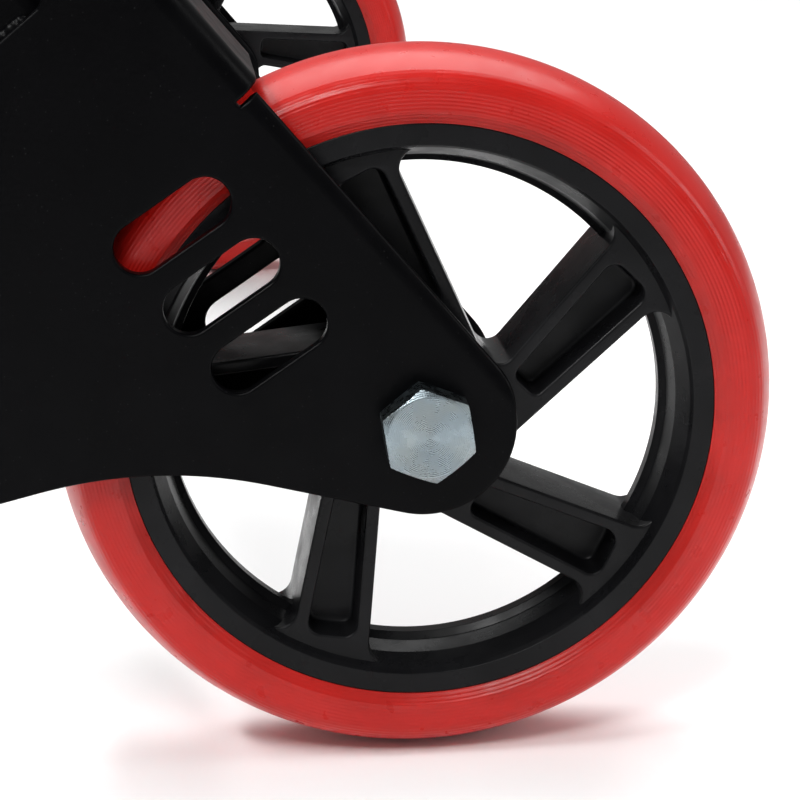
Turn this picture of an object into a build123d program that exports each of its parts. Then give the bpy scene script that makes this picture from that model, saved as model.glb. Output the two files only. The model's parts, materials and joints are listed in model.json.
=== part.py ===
"""Twin wheel carriage for the rear of a fitness bench.

Two folded steel forks, each with a red polyurethane wheel on ball bearings, stand on the
ends of two raked legs. A square cross tube joins the legs and carries a plate that bolts
to the machine's frame.

Millimetres. +Z is up, +Y runs from the left wheel to the right wheel, and +X points to the
rear, away from the machine. The origin is the centre of the mounting plate's front face.
"""
from build123d import *
import os
from math import cos, hypot, radians, sin

# ---------------------------------------------------------------- wheel and axle
TYRE_R = 72.5               # outer radius of the tyre
TYRE_CROWN_R = 22.0         # radius of the tread across the tyre
TYRE_HALF_WIDTH = 13.7
TYRE_TOE = 2.2              # the side face slopes down to the rim over this radius
TYRE_SHOULDER_R = 4.0       # round between tread and side face
TYRE_TOE_R = 1.2
RIM_EDGE_R = 58.8           # where tyre and rim meet on the side face
RIM_SEAT_R = 57.0           # bottom of the channel that the tyre is cast into
RIM_FLANGE = 1.8            # thickness of the channel's flanges at the edge
RIM_INNER_R = 53.5          # round that the spokes run into
RIM_CREST_R = 49.6          # narrow crest that runs round the middle of the band's inner wall
RIM_CREST_HALF = 1.4
# The wall steps out from the crest to the side face, as (radius, distance from the middle).
RIM_WALL = ((51.0, 2.6), (52.0, 6.7), (54.0, 11.2), (54.6, 12.2))
RIM_HALF_WIDTH = 12.2
HUB_R = 17.5
SPOKES = 5
SPOKE_OFFSET = 11.4         # a spoke's middle line passes the axle at this distance
SPOKE_START = 2.0           # ends of a spoke along its middle line
SPOKE_END = 54.0
SPOKE_HALF_WIDTH_HUB = 4.9
SPOKE_HALF_WIDTH_RIM = 8.2
SPOKE_HALF_DEPTH = 9.8
SPOKE_WEB_HALF = 2.5        # half thickness of the panel between a spoke's two ribs
SPOKE_RIB = 2.7             # width of each rib
SPOKE_HUB_FILLET = 3.0
SPOKE_RIM_FILLET = 4.0
POCKET_CORNER_R = 2.0
POCKET_START = 18.0         # ends of a spoke's pockets along its middle line
POCKET_END = 48.5
HUB_TAPER = 0.6
AXLE_R = 5.0                # M10
BEARING_OUTER_R = 13.0      # 6000 size, 10 x 26 x 8
BEARING_WIDTH = 8.0
BEARING_INNER_RING_R = 7.4
BEARING_OUTER_RING_R = 10.6
BALL_R = 2.35
BALLS = 7
SHIELD = 0.6                # thickness of a bearing's shields
SHIELD_RECESS = 0.3
SHIELD_GAP = 0.15           # radial gap to the inner ring

# ---------------------------------------------------------------- fork plate
CHEEK_GAP = 31.8            # clear width between the cheeks
STEEL = 3.0                 # sheet thickness
NOSE_R = 18.0               # round end about the axle, and about the stay bolt
STAY_X = -106.0             # stay bolt, measured from the axle
BELLY_SLOPE = 14.0          # lower edge leaves the nose at this angle
BELLY_DROP = 8.1            # middle of the lower edge, below the axle
RAKE = 49.8                 # angle of legs and rear fork edge above the horizontal
FORK_TOP_T = 109.3          # upper edge, measured from the axle along the rake
LIP_TOP_T = 116.0
WEB_START_T = 72.4          # the folded web starts here
WEB_OUTER_N = 20.0          # outer face of the web, across the rake
BEND_R = 5.0                # outer bend radius
RELIEF = 1.2                # bend relief notch, along the rake
RELIEF_N = 15.5             # and its floor, across the rake
TOP_KINK_N = -1.5           # the top edge turns steeper here, towards the web's top
TOP_CORNER_R = 10.0
EDGE_BREAK = 0.25
SLOT_LENGTH = 25.0
SLOT_WIDTH = 10.0
SLOT_PITCH = 15.0
SLOT_ANGLE = 34.3
SLOT_ROW_ANGLE = -53.2
SLOT_MIDDLE = (-39.2, 29.4)

# ---------------------------------------------------------------- frame
TRACK = 410.0               # distance between the two wheels' middle planes
STAGGER = 28.0              # the right wheel stands this much further forward
LEG_DEPTH = 50.8            # leg tube, across the rake
LEG_WALL = 2.5
LEG_CORNER_R = 4.0
LEG_START_T = 80.0
LEG_END_T = 262.0
CAP_RISE = 3.0              # height of a leg cap above the tube
CAP_ROUND = 1.5
CAP_PLUG = 14.0             # depth of its hollow plug
CAP_PLUG_WALL = 2.0
CAP_PLUG_GAP = 0.1
BEAM = 40.0                 # square cross tube
BEAM_WALL = 2.5
BEAM_CORNER_R = 4.0
BEAM_T = 190.0              # cross tube's place on the left leg
PLATE = 6.0                 # thickness of the flanges and the mounting plate
FLANGE_HALF_LENGTH = 52.0
FLANGE_BOLT_T = 38.0        # flange bolts, above and below the cross tube
FLANGE_MARGIN = 6.0         # flange beside the cross tube
PLATE_CORNER_R = 8.0
WELD = 2.6                  # size of the beads at the fork's top edge
WELD_INSET = 3.0            # from the leg's faces to the ends of the beads
MOUNT_WIDTH = 110.0
MOUNT_HEIGHT = 84.0
MOUNT_PITCH_Y = 80.0
MOUNT_PITCH_Z = 58.0
MOUNT_HOLE_R = 4.5

# ---------------------------------------------------------------- fasteners
M10 = {"r": 5.0, "af": 17.0, "head": 6.4, "nut": 10.0, "washer_r": 10.0, "washer": 2.0}
M8 = {"r": 4.0, "af": 13.0, "head": 5.3, "nut": 8.0, "washer_r": 8.0, "washer": 1.6}
NUT_PLAIN = 0.78            # share of a lock nut's height that is hexagonal
COLLAR_STEP = 0.6           # the round collar of a lock nut, inside its flats
BOLT_TIP = 1.2              # bevel at the end of a shank
M10_LENGTH = 55.0
STAY_BOLT_LENGTH = 55.0
FLANGE_BOLT_LENGTH = 50.0
SLEEVE_R = 8.0
FIT = 0.02                  # radial gap of parts that sit on a shaft
LOOSE = 0.3                 # radial gap of bolt holes

# How far each hexagon is turned, in degrees.
TURN = {
    "axle_bolt": 39.0,
    "axle_nut": 25.0,
    "stay_bolt": 28.0,
    "stay_nut": 11.0,
    "flange_bolt": 19.0,
    "flange_nut": 33.0,
}

along = (-cos(radians(RAKE)), sin(radians(RAKE)))     # up the leg, as (x, z)
across = (sin(radians(RAKE)), cos(radians(RAKE)))     # to the rear of the leg, as (x, z)
half_gap = CHEEK_GAP / 2
cheek_face = half_gap + STEEL
fork_left_x = STAY_X - NOSE_R
beam_x = PLATE + BEAM / 2
half_shift = STAGGER * across[0] / 2
channel = RIM_HALF_WIDTH - RIM_FLANGE
ball_pitch_r = (BEARING_INNER_RING_R + BEARING_OUTER_RING_R) / 2

# The cross tube passes each leg half of the stagger off the leg's middle line.
left_n = -LEG_DEPTH / 2 - half_shift
axle_x = beam_x - BEAM_T * along[0] - left_n * across[0]
axle_z = -BEAM_T * along[1] - left_n * across[1]

SIDES = {
    "left": {"x": axle_x, "y": -TRACK / 2, "out": -1, "spoke": 45.9},
    "right": {"x": axle_x - STAGGER, "y": TRACK / 2, "out": 1, "spoke": -6.9},
}


def rake_point(t, n):
    """Point in a side plane, t up the leg and n to its rear, measured from the axle."""
    return (t * along[0] + n * across[0], t * along[1] + n * across[1])


def side_plane(side, a=0.0):
    """X-Z plane, a millimetres outboard of a wheel's middle plane, with its normal along -Y."""
    origin = (side["x"], side["y"] + side["out"] * a, axle_z)
    return Plane(origin=origin, x_dir=(1, 0, 0), z_dir=(0, -1, 0))


def section_plane(side, x=0.0, z=0.0):
    """Plane for revolved profiles: x is the radius and y points outboard along the axle."""
    origin = (side["x"] + x, side["y"], axle_z + z)
    return Plane(origin=origin, x_dir=(1, 0, 0), z_dir=(0, 0, side["out"]))


def axis_at(plane):
    return Axis(plane.origin, plane.y_dir)


def ring(label, plane, profiles):
    """Turned part: each profile is a closed list of (radius, outboard) points."""
    with BuildPart() as turned:
        for profile in profiles:
            with BuildSketch(plane):
                with BuildLine():
                    Polyline(*profile, close=True)
                make_face()
            revolve(axis=axis_at(plane))
    turned.part.label = label
    return turned.part


def rectangle_profile(r0, r1, a0, a1):
    return [(r0, a0), (r1, a0), (r1, a1), (r0, a1)]


# ---------------------------------------------------------------- the wheel
def make_tyre(side):
    plane = section_plane(side)
    half = TYRE_HALF_WIDTH
    shoulder_r = TYRE_R - TYRE_CROWN_R + (TYRE_CROWN_R ** 2 - half ** 2) ** 0.5
    with BuildPart() as tyre:
        with BuildSketch(plane) as section:
            with BuildLine():
                crown = ThreePointArc((shoulder_r, -half), (TYRE_R, 0), (shoulder_r, half))
                Polyline(
                    crown @ 1,
                    (RIM_EDGE_R + TYRE_TOE, half),
                    (RIM_EDGE_R, RIM_HALF_WIDTH),
                    (RIM_EDGE_R, channel),
                    (RIM_SEAT_R, channel - 1),
                    (RIM_SEAT_R, 1 - channel),
                    (RIM_EDGE_R, -channel),
                    (RIM_EDGE_R, -RIM_HALF_WIDTH),
                    (RIM_EDGE_R + TYRE_TOE, -half),
                    crown @ 0,
                )
            make_face()
            shoulders = [v for v in section.vertices() if abs(abs(v.Y) - half) < 0.01]
            outer = [v for v in shoulders if v.X > shoulder_r - 0.01]
            inner = [v for v in shoulders if v.X < shoulder_r - 0.01]
            fillet(outer, radius=TYRE_SHOULDER_R)
            fillet(inner, radius=TYRE_TOE_R)
        revolve(axis=axis_at(plane))
    return tyre


def spoke_outline(side, inset, start, end):
    """Corners of one spoke that points along +X, drawn in from its sides by inset."""
    middle = side["out"] * SPOKE_OFFSET
    taper = (SPOKE_HALF_WIDTH_RIM - SPOKE_HALF_WIDTH_HUB) / (SPOKE_END - SPOKE_START)
    near = SPOKE_HALF_WIDTH_HUB + taper * (start - SPOKE_START) - inset
    far = SPOKE_HALF_WIDTH_HUB + taper * (end - SPOKE_START) - inset
    right = [(start, middle - near), (end, middle - far)]
    left = [(end, middle + far), (start, middle + near)]
    return right + left


def make_rim(side):
    faces = side_plane(side)
    section = section_plane(side)
    with BuildPart() as rim:
        with BuildSketch(faces) as star:
            Circle(RIM_INNER_R + 2)
            Circle(RIM_INNER_R, mode=Mode.SUBTRACT)
            Circle(HUB_R)
            with PolarLocations(0, SPOKES, start_angle=side["spoke"]):
                Polygon(*spoke_outline(side, 0, SPOKE_START, SPOKE_END), align=None)
            Circle(RIM_INNER_R + 2, mode=Mode.INTERSECT)
            corners = star.vertices()
            at_hub = [v for v in corners if HUB_R - 1 < hypot(v.X, v.Y) < HUB_R + 3]
            at_rim = [v for v in corners if abs(hypot(v.X, v.Y) - RIM_INNER_R) < 0.1]
            fillet(at_hub, radius=SPOKE_HUB_FILLET)
            fillet(at_rim, radius=SPOKE_RIM_FILLET)
        extrude(amount=SPOKE_HALF_DEPTH, both=True)
        # The band: a channel outside for the tyre, and a crest round the middle inside.
        with BuildSketch(section):
            with BuildLine():
                Polyline(
                    (RIM_CREST_R, -RIM_CREST_HALF),
                    (RIM_CREST_R, RIM_CREST_HALF),
                    *RIM_WALL,
                    (RIM_EDGE_R, RIM_HALF_WIDTH),
                    (RIM_EDGE_R, channel),
                    (RIM_SEAT_R, channel - 1),
                    (RIM_SEAT_R, 1 - channel),
                    (RIM_EDGE_R, -channel),
                    (RIM_EDGE_R, -RIM_HALF_WIDTH),
                    *[(r, -a) for r, a in reversed(RIM_WALL)],
                    close=True,
                )
            make_face()
        revolve(axis=axis_at(section))
        # Pockets on both faces leave each spoke as an I-beam.
        for way in (1, -1):
            with BuildSketch(faces.offset(way * SPOKE_WEB_HALF)) as pockets:
                pocket = spoke_outline(side, SPOKE_RIB, POCKET_START, POCKET_END)
                with PolarLocations(0, SPOKES, start_angle=side["spoke"]):
                    Polygon(*pocket, align=None)
                fillet(pockets.vertices(), radius=POCKET_CORNER_R)
            extrude(amount=way * RIM_HALF_WIDTH, mode=Mode.SUBTRACT)
        # Hub barrel, then the two bearing seats and the hole between them.
        with BuildSketch(section):
            with BuildLine():
                Polyline(
                    (HUB_R - 3, -RIM_HALF_WIDTH),
                    (HUB_R - HUB_TAPER, -RIM_HALF_WIDTH),
                    (HUB_R, -SPOKE_WEB_HALF),
                    (HUB_R, SPOKE_WEB_HALF),
                    (HUB_R - HUB_TAPER, RIM_HALF_WIDTH),
                    (HUB_R - 3, RIM_HALF_WIDTH),
                    close=True,
                )
            make_face()
        revolve(axis=axis_at(section))
        with BuildSketch(faces):
            Circle(BEARING_OUTER_RING_R + 0.9)
        extrude(amount=RIM_HALF_WIDTH + 1, both=True, mode=Mode.SUBTRACT)
        for way in (1, -1):
            with BuildSketch(faces.offset(way * (RIM_HALF_WIDTH - BEARING_WIDTH))):
                Circle(BEARING_OUTER_R + FIT)
            extrude(amount=way * (BEARING_WIDTH + 1), mode=Mode.SUBTRACT)
    return rim.part


def rim_zone(side, rim, r0, r1):
    """The rim's solids between two radii, so that band, spokes and hub are simple nodes."""
    reach = RIM_HALF_WIDTH + 1
    zone = ring("zone", section_plane(side), [rectangle_profile(r0, r1, -reach, reach)])
    with BuildPart() as piece:
        add(rim)
        add(zone, mode=Mode.INTERSECT)
    return list(piece.part.solids())


def bearing_middles():
    middle = RIM_HALF_WIDTH - BEARING_WIDTH / 2
    return (middle, -middle)


def make_bearing_rings(side, r0, r1):
    """Both bearings' rings between radii r0 and r1, each with its ball groove."""
    plane = section_plane(side)
    with BuildPart() as rings:
        with BuildSketch(plane):
            for middle in bearing_middles():
                with Locations(((r0 + r1) / 2, middle)):
                    Rectangle(r1 - r0, BEARING_WIDTH)
                with Locations((ball_pitch_r, middle)):
                    Circle(BALL_R + 0.1, mode=Mode.SUBTRACT)
        revolve(axis=axis_at(plane))
    return rings


def make_balls(side):
    with BuildPart() as balls:
        for middle in bearing_middles():
            with Locations(side_plane(side, middle)):
                with PolarLocations(ball_pitch_r, BALLS):
                    Sphere(BALL_R)
    return balls


def make_seals(side):
    """Four thin shields, one on each face of both bearings, clipped in the outer rings."""
    plane = section_plane(side)
    inner_r = BEARING_INNER_RING_R + SHIELD_GAP
    with BuildPart() as seals:
        with BuildSketch(plane):
            for middle in bearing_middles():
                for way in (1, -1):
                    a = middle + way * (BEARING_WIDTH / 2 - SHIELD_RECESS - SHIELD / 2)
                    with Locations(((inner_r + BEARING_OUTER_RING_R) / 2, a)):
                        Rectangle(BEARING_OUTER_RING_R - inner_r, SHIELD)
        revolve(axis=axis_at(plane))
    return seals


# ---------------------------------------------------------------- fasteners
def hexagon(af):
    RegularPolygon(af / 2, 6, major_radius=False)


def hex_envelope(plane, af, base, tip):
    """Turned shape that a hexagon from base to tip is cut back to, for its chamfered corners."""
    corner = af / 2 / cos(radians(30)) + 0.01
    way = 1 if tip > base else -1
    bevel = (corner - af / 2) * 0.6
    profile = [(0, base), (corner, base), (corner, tip - way * bevel), (af / 2 - 0.2, tip), (0, tip)]
    return ring("envelope", plane, [profile])


def make_bolts(side, size, seat, length, places, spin):
    """Hex bolts whose heads sit at outboard distance seat and whose shanks run inboard.

    A negative seat turns them round: the head is inboard and the shank runs outboard.
    """
    way = 1 if seat > 0 else -1
    solids = []
    for x, z in places:
        plane = section_plane(side, x, z)
        envelope = hex_envelope(plane, size["af"], seat, seat + way * size["head"])
        with BuildPart() as bolt:
            with BuildSketch(side_plane(side, seat)):
                with Locations(Location((x, z), spin)):
                    hexagon(size["af"])
            extrude(amount=-side["out"] * way * size["head"])
            add(envelope, mode=Mode.INTERSECT)
            tip = seat - way * length
            with BuildSketch(plane):
                with BuildLine():
                    Polyline(
                        (0, seat + way),
                        (size["r"], seat + way),
                        (size["r"], tip + way * BOLT_TIP),
                        (size["r"] - BOLT_TIP, tip),
                        (0, tip),
                        close=True,
                    )
                make_face()
            revolve(axis=axis_at(plane))
        solids.append(bolt.part)
    return solids


def make_nuts(side, size, seat, way, places, spin):
    """Lock nuts that start at outboard distance seat: a hexagon with a round nylon collar."""
    solids = []
    for x, z in places:
        plane = section_plane(side, x, z)
        top = seat + way * size["nut"] * NUT_PLAIN
        end = seat + way * size["nut"]
        collar_r = size["af"] / 2 - COLLAR_STEP
        envelope = hex_envelope(plane, size["af"], seat, top)
        with BuildPart() as nut:
            with BuildSketch(side_plane(side, seat)):
                with Locations(Location((x, z), spin)):
                    hexagon(size["af"])
            extrude(amount=-side["out"] * way * size["nut"] * NUT_PLAIN)
            add(envelope, mode=Mode.INTERSECT)
            with BuildSketch(plane):
                with BuildLine():
                    Polyline(
                        (size["r"], seat + way),
                        (collar_r, seat + way),
                        (collar_r, end - way * 0.8),
                        (collar_r - 1, end),
                        (size["r"], end),
                        close=True,
                    )
                make_face()
            revolve(axis=axis_at(plane))
            with BuildSketch(side_plane(side, seat)):
                with Locations((x, z)):
                    Circle(size["r"] + FIT)
            extrude(amount=2 * size["nut"], both=True, mode=Mode.SUBTRACT)
        solids.append(nut.part)
    return solids


def make_washers(side, size, seats, places):
    """Flat washers; seats are their inner and outer faces' outboard distances."""
    solids = []
    for x, z in places:
        plane = section_plane(side, x, z)
        for a0, a1 in seats:
            profile = rectangle_profile(size["r"] + LOOSE, size["washer_r"], a0, a1)
            solids.append(ring("washer", plane, [profile]))
    return solids


# ---------------------------------------------------------------- fork, leg and frame
def cheek_outline():
    """Closed outline of a cheek about the axle: nose, rear edge, top, stay nose, belly."""
    slope = radians(BELLY_SLOPE)
    half_span = -STAY_X / 2
    rise = half_span * sin(slope) + BELLY_DROP * cos(slope) - NOSE_R
    belly_r = rise / (1 - cos(slope))
    belly_dx = belly_r * sin(slope)
    belly_z = -BELLY_DROP - belly_r * (1 - cos(slope))
    foot_dx = NOSE_R * sin(slope)
    foot_z = -NOSE_R * cos(slope)
    flat_n = WEB_OUTER_N - BEND_R
    nose_side = rake_point(0, NOSE_R)
    corner_z = (FORK_TOP_T - fork_left_x * along[0]) / along[1]
    stay_foot = (STAY_X + foot_dx, foot_z)
    belly_left = (-half_span - belly_dx, belly_z)
    belly_right = (-half_span + belly_dx, belly_z)
    with BuildLine() as outline:
        ThreePointArc((-foot_dx, foot_z), (NOSE_R * cos(slope), -NOSE_R * sin(slope)), nose_side)
        Polyline(
            nose_side,
            rake_point(WEB_START_T - RELIEF, NOSE_R),
            rake_point(WEB_START_T - RELIEF, RELIEF_N),
            rake_point(WEB_START_T, RELIEF_N),
            rake_point(WEB_START_T, flat_n),
            rake_point(LIP_TOP_T, flat_n),
            rake_point(FORK_TOP_T, TOP_KINK_N),
            (fork_left_x, corner_z),
            (fork_left_x, 0),
        )
        low_left = (STAY_X - NOSE_R * sin(radians(45)), -NOSE_R * sin(radians(45)))
        ThreePointArc((fork_left_x, 0), low_left, stay_foot)
        Line(stay_foot, belly_left)
        ThreePointArc(belly_left, (-half_span, -BELLY_DROP), belly_right)
        Line(belly_right, (-foot_dx, foot_z))
    return outline


def make_fork(side):
    row = radians(SLOT_ROW_ANGLE)
    slot_places = [
        (SLOT_MIDDLE[0] + k * SLOT_PITCH * cos(row), SLOT_MIDDLE[1] + k * SLOT_PITCH * sin(row))
        for k in (-1, 0, 1)
    ]
    web_start = rake_point(WEB_START_T, 0)
    web_plane = Plane(
        origin=(side["x"] + web_start[0], side["y"], axle_z + web_start[1]),
        x_dir=(across[0], 0, across[1]),
        z_dir=(along[0], 0, along[1]),
    )
    with BuildPart() as fork:
        for a in (half_gap, -cheek_face):
            with BuildSketch(side_plane(side, a)) as cheek:
                add(cheek_outline().line)
                make_face()
                left_points = [v for v in cheek.vertices() if abs(v.X - fork_left_x) < 0.01]
                top_corner = [v for v in left_points if v.Y > NOSE_R]
                fillet(top_corner, radius=TOP_CORNER_R)
                with Locations(*slot_places):
                    SlotOverall(SLOT_LENGTH, SLOT_WIDTH, rotation=SLOT_ANGLE, mode=Mode.SUBTRACT)
                Circle(AXLE_R + LOOSE, mode=Mode.SUBTRACT)
                with Locations((STAY_X, 0)):
                    Circle(M8["r"] + LOOSE, mode=Mode.SUBTRACT)
            extrude(amount=-side["out"] * STEEL)
        # The web: one U-shaped fold that joins the cheeks above the tyre.
        with BuildSketch(web_plane):
            depth = 4 * BEND_R
            with Locations((WEB_OUTER_N - depth / 2, 0)):
                RectangleRounded(depth, 2 * cheek_face, BEND_R)
            with Locations((WEB_OUTER_N - STEEL - depth / 2, 0)):
                RectangleRounded(depth, CHEEK_GAP, BEND_R - STEEL, mode=Mode.SUBTRACT)
            with Locations((WEB_OUTER_N - BEND_R - depth / 2, 0)):
                Rectangle(depth, 3 * cheek_face, mode=Mode.SUBTRACT)
        extrude(amount=LIP_TOP_T - WEB_START_T)
        # Break the sharp edges of the outer faces.
        outer_faces = fork.faces().filter_by(Axis.Y).group_by(Axis.Y)
        rims = outer_faces[0].edges() + outer_faces[-1].edges()
        rounds = [e for e in rims if e.geom_type == GeomType.CIRCLE and abs(e.radius - NOSE_R) < 0.01]
        chamfer(rounds, length=EDGE_BREAK)
    return fork


def leg_frame(side, t):
    """Plane square to a leg at distance t from the axle: x to the rear, y along Y."""
    x, z = rake_point(t, -LEG_DEPTH / 2)
    return Plane(
        origin=(side["x"] + x, side["y"], axle_z + z),
        x_dir=(across[0], 0, across[1]),
        z_dir=(along[0], 0, along[1]),
    )


def flange_bolt_places(side):
    """Bolt centres on the leg's middle line, above and below the cross tube."""
    beam_t = (beam_x - side["x"]) * along[0] - axle_z * along[1]
    return [rake_point(beam_t + way * FLANGE_BOLT_T, -LEG_DEPTH / 2) for way in (1, -1)]


def leg_hollow(gap=0.0):
    """Depth and width of the leg's hollow, drawn in by a gap all round."""
    inset = 2 * (LEG_WALL + gap)
    return (LEG_DEPTH - inset, CHEEK_GAP - inset)


def make_leg(side):
    with BuildPart() as leg:
        with BuildSketch(leg_frame(side, LEG_START_T)):
            RectangleRounded(LEG_DEPTH, CHEEK_GAP, LEG_CORNER_R)
            RectangleRounded(*leg_hollow(), LEG_CORNER_R - LEG_WALL, mode=Mode.SUBTRACT)
        extrude(amount=LEG_END_T - LEG_START_T)
        with BuildSketch(side_plane(side)):
            with Locations(*flange_bolt_places(side)):
                Circle(M8["r"] + LOOSE)
        extrude(amount=CHEEK_GAP, both=True, mode=Mode.SUBTRACT)
    return leg


def make_leg_cap(side):
    plug_depth, plug_width = leg_hollow(CAP_PLUG_GAP)
    wall = 2 * CAP_PLUG_WALL
    up_the_leg = Axis((0, 0, 0), (along[0], 0, along[1]))
    with BuildPart() as cap:
        with BuildSketch(leg_frame(side, LEG_END_T)):
            RectangleRounded(LEG_DEPTH, CHEEK_GAP, LEG_CORNER_R)
        extrude(amount=CAP_RISE)
        top = cap.faces().sort_by(up_the_leg)[-1]
        fillet(top.edges(), radius=CAP_ROUND)
        with BuildSketch(leg_frame(side, LEG_END_T)):
            RectangleRounded(plug_depth, plug_width, LEG_CORNER_R - LEG_WALL)
            RectangleRounded(plug_depth - wall, plug_width - wall, 1, mode=Mode.SUBTRACT)
        extrude(amount=-CAP_PLUG)
    return cap


def make_fork_welds(side):
    """Fillet beads between the fork's top edge and the leg, one on each side."""
    with BuildPart() as welds:
        for a in (half_gap, -half_gap):
            way = 1 if a > 0 else -1
            start = rake_point(FORK_TOP_T, -LEG_DEPTH + WELD_INSET)
            plane = Plane(
                origin=(side["x"] + start[0], side["y"] + side["out"] * a, axle_z + start[1]),
                x_dir=(along[0], 0, along[1]),
                z_dir=(across[0], 0, across[1]),
            )
            outward = side["out"] * way * plane.y_dir.Y
            foot = (0, outward * WELD)
            with BuildSketch(plane):
                with BuildLine():
                    Line((0, 0), (WELD, 0))
                    TangentArc((WELD, 0), foot, tangent=(-0.5, 1.2 * outward))
                    Line(foot, (0, 0))
                make_face()
            extrude(amount=LEG_DEPTH - 2 * WELD_INSET)
    return welds


def make_stay_sleeve(side):
    profile = rectangle_profile(M8["r"] + LOOSE, SLEEVE_R, -half_gap, half_gap)
    return ring("stay_sleeve", section_plane(side, STAY_X, 0), [profile])


def make_flange(side):
    """Plate at the cross tube's end, wide enough for the tube and the leg, which are offset."""
    beam_t = (beam_x - side["x"]) * along[0] - axle_z * along[1]
    beam_n = (beam_x - side["x"]) * across[0] - axle_z * across[1]
    half_tube = BEAM / 2 + FLANGE_MARGIN
    n_low = min(-LEG_DEPTH, beam_n - half_tube)
    n_high = max(0, beam_n + half_tube)
    centre = rake_point(beam_t, (n_low + n_high) / 2)
    with BuildPart() as flange:
        with BuildSketch(side_plane(side, -half_gap)):
            with Locations(Location(centre, 90 - RAKE)):
                RectangleRounded(n_high - n_low, 2 * FLANGE_HALF_LENGTH, PLATE_CORNER_R)
            with Locations(*flange_bolt_places(side)):
                Circle(M8["r"] + LOOSE, mode=Mode.SUBTRACT)
        extrude(amount=side["out"] * PLATE)
    return flange


def make_cross_tube():
    reach = TRACK / 2 - half_gap - PLATE
    bore = BEAM - 2 * BEAM_WALL
    with BuildPart() as tube:
        with BuildSketch(Plane(origin=(beam_x, -reach, 0), x_dir=(1, 0, 0), z_dir=(0, 1, 0))):
            RectangleRounded(BEAM, BEAM, BEAM_CORNER_R)
            RectangleRounded(bore, bore, BEAM_CORNER_R - BEAM_WALL, mode=Mode.SUBTRACT)
        extrude(amount=2 * reach)
    return tube


def make_mounting_plate():
    with BuildPart() as plate:
        with BuildSketch(Plane.YZ):
            RectangleRounded(MOUNT_WIDTH, MOUNT_HEIGHT, PLATE_CORNER_R)
            with GridLocations(MOUNT_PITCH_Y, MOUNT_PITCH_Z, 2, 2):
                Circle(MOUNT_HOLE_R, mode=Mode.SUBTRACT)
        extrude(amount=PLATE)
    return plate


# ---------------------------------------------------------------- put together and write
os.makedirs("parts", exist_ok=True)


def save(shape, label):
    """Write one node: a single part, or a group of separate like solids."""
    solids = shape if isinstance(shape, list) else [shape.part if isinstance(shape, BuildPart) else shape]
    node = solids[0] if len(solids) == 1 else Compound(children=solids)
    node.label = label
    export_step(node, f"parts/{label}.step")


save(make_cross_tube(), "cross_tube")
save(make_mounting_plate(), "mounting_plate")

for name, side in SIDES.items():
    save(make_fork(side), f"fork_{name}")
    save(make_leg(side), f"leg_{name}")
    save(make_leg_cap(side), f"leg_cap_{name}")
    save(make_fork_welds(side), f"fork_welds_{name}")
    save(make_flange(side), f"cross_tube_flange_{name}")

    save(make_tyre(side), f"tyre_{name}")
    rim = make_rim(side)
    save(rim_zone(side, rim, RIM_CREST_R, RIM_EDGE_R + 1), f"rim_band_{name}")
    save(rim_zone(side, rim, HUB_R, RIM_CREST_R), f"rim_spokes_{name}")
    save(rim_zone(side, rim, 0, HUB_R), f"rim_hub_{name}")
    save(make_bearing_rings(side, BEARING_OUTER_RING_R, BEARING_OUTER_R), f"bearing_outer_rings_{name}")
    save(make_bearing_rings(side, AXLE_R + FIT, BEARING_INNER_RING_R), f"bearing_inner_rings_{name}")
    save(make_balls(side), f"bearing_balls_{name}")
    save(make_seals(side), f"bearing_seals_{name}")

    inner_face = RIM_HALF_WIDTH - BEARING_WIDTH
    axle = section_plane(side)
    spacer = rectangle_profile(AXLE_R + FIT, BEARING_INNER_RING_R - 0.4, -inner_face, inner_face)
    save(ring("spacer", axle, [spacer]), f"bearing_spacer_{name}")
    collars = [
        ring("collar", axle, [rectangle_profile(AXLE_R + FIT, BEARING_INNER_RING_R - 0.2, a0, a1)])
        for a0, a1 in ((RIM_HALF_WIDTH, half_gap), (-half_gap, -RIM_HALF_WIDTH))
    ]
    save(collars, f"axle_collars_{name}")

    centre = [(0, 0)]
    stay = [(STAY_X, 0)]
    axle_bolt = make_bolts(side, M10, cheek_face, M10_LENGTH, centre, TURN["axle_bolt"])
    save(axle_bolt, f"axle_bolt_{name}")
    washer_end = -cheek_face - M10["washer"]
    save(make_washers(side, M10, [(washer_end, -cheek_face)], centre), f"axle_washer_{name}")
    save(make_nuts(side, M10, washer_end, -1, centre, TURN["axle_nut"]), f"axle_nut_{name}")

    save(make_stay_sleeve(side), f"stay_sleeve_{name}")
    seat = cheek_face + M8["washer"]
    stay_washers = [(cheek_face, seat), (-seat, -cheek_face)]
    stay_bolt = make_bolts(side, M8, seat, STAY_BOLT_LENGTH, stay, TURN["stay_bolt"])
    save(stay_bolt, f"stay_bolt_{name}")
    save(make_washers(side, M8, stay_washers, stay), f"stay_washers_{name}")
    save(make_nuts(side, M8, -seat, -1, stay, TURN["stay_nut"]), f"stay_nut_{name}")

    joint = flange_bolt_places(side)
    nut_seat = half_gap + M8["washer"]
    head_seat = -half_gap - PLATE
    flange_bolts = make_bolts(side, M8, head_seat, FLANGE_BOLT_LENGTH, joint, TURN["flange_bolt"])
    save(flange_bolts, f"flange_bolts_{name}")
    save(make_washers(side, M8, [(half_gap, nut_seat)], joint), f"flange_washers_{name}")
    save(make_nuts(side, M8, nut_seat, 1, joint, TURN["flange_nut"]), f"flange_nuts_{name}")
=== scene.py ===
"""Looks of a twin wheel carriage: two slotted steel forks with red polyurethane wheels,
two raked legs, a square cross tube and a mounting plate.

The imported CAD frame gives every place. This file replaces the plain CAD pieces with
finished ones in the same places, and gives the sealed inner pieces their finishes.
All lengths are in metres.
"""

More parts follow.
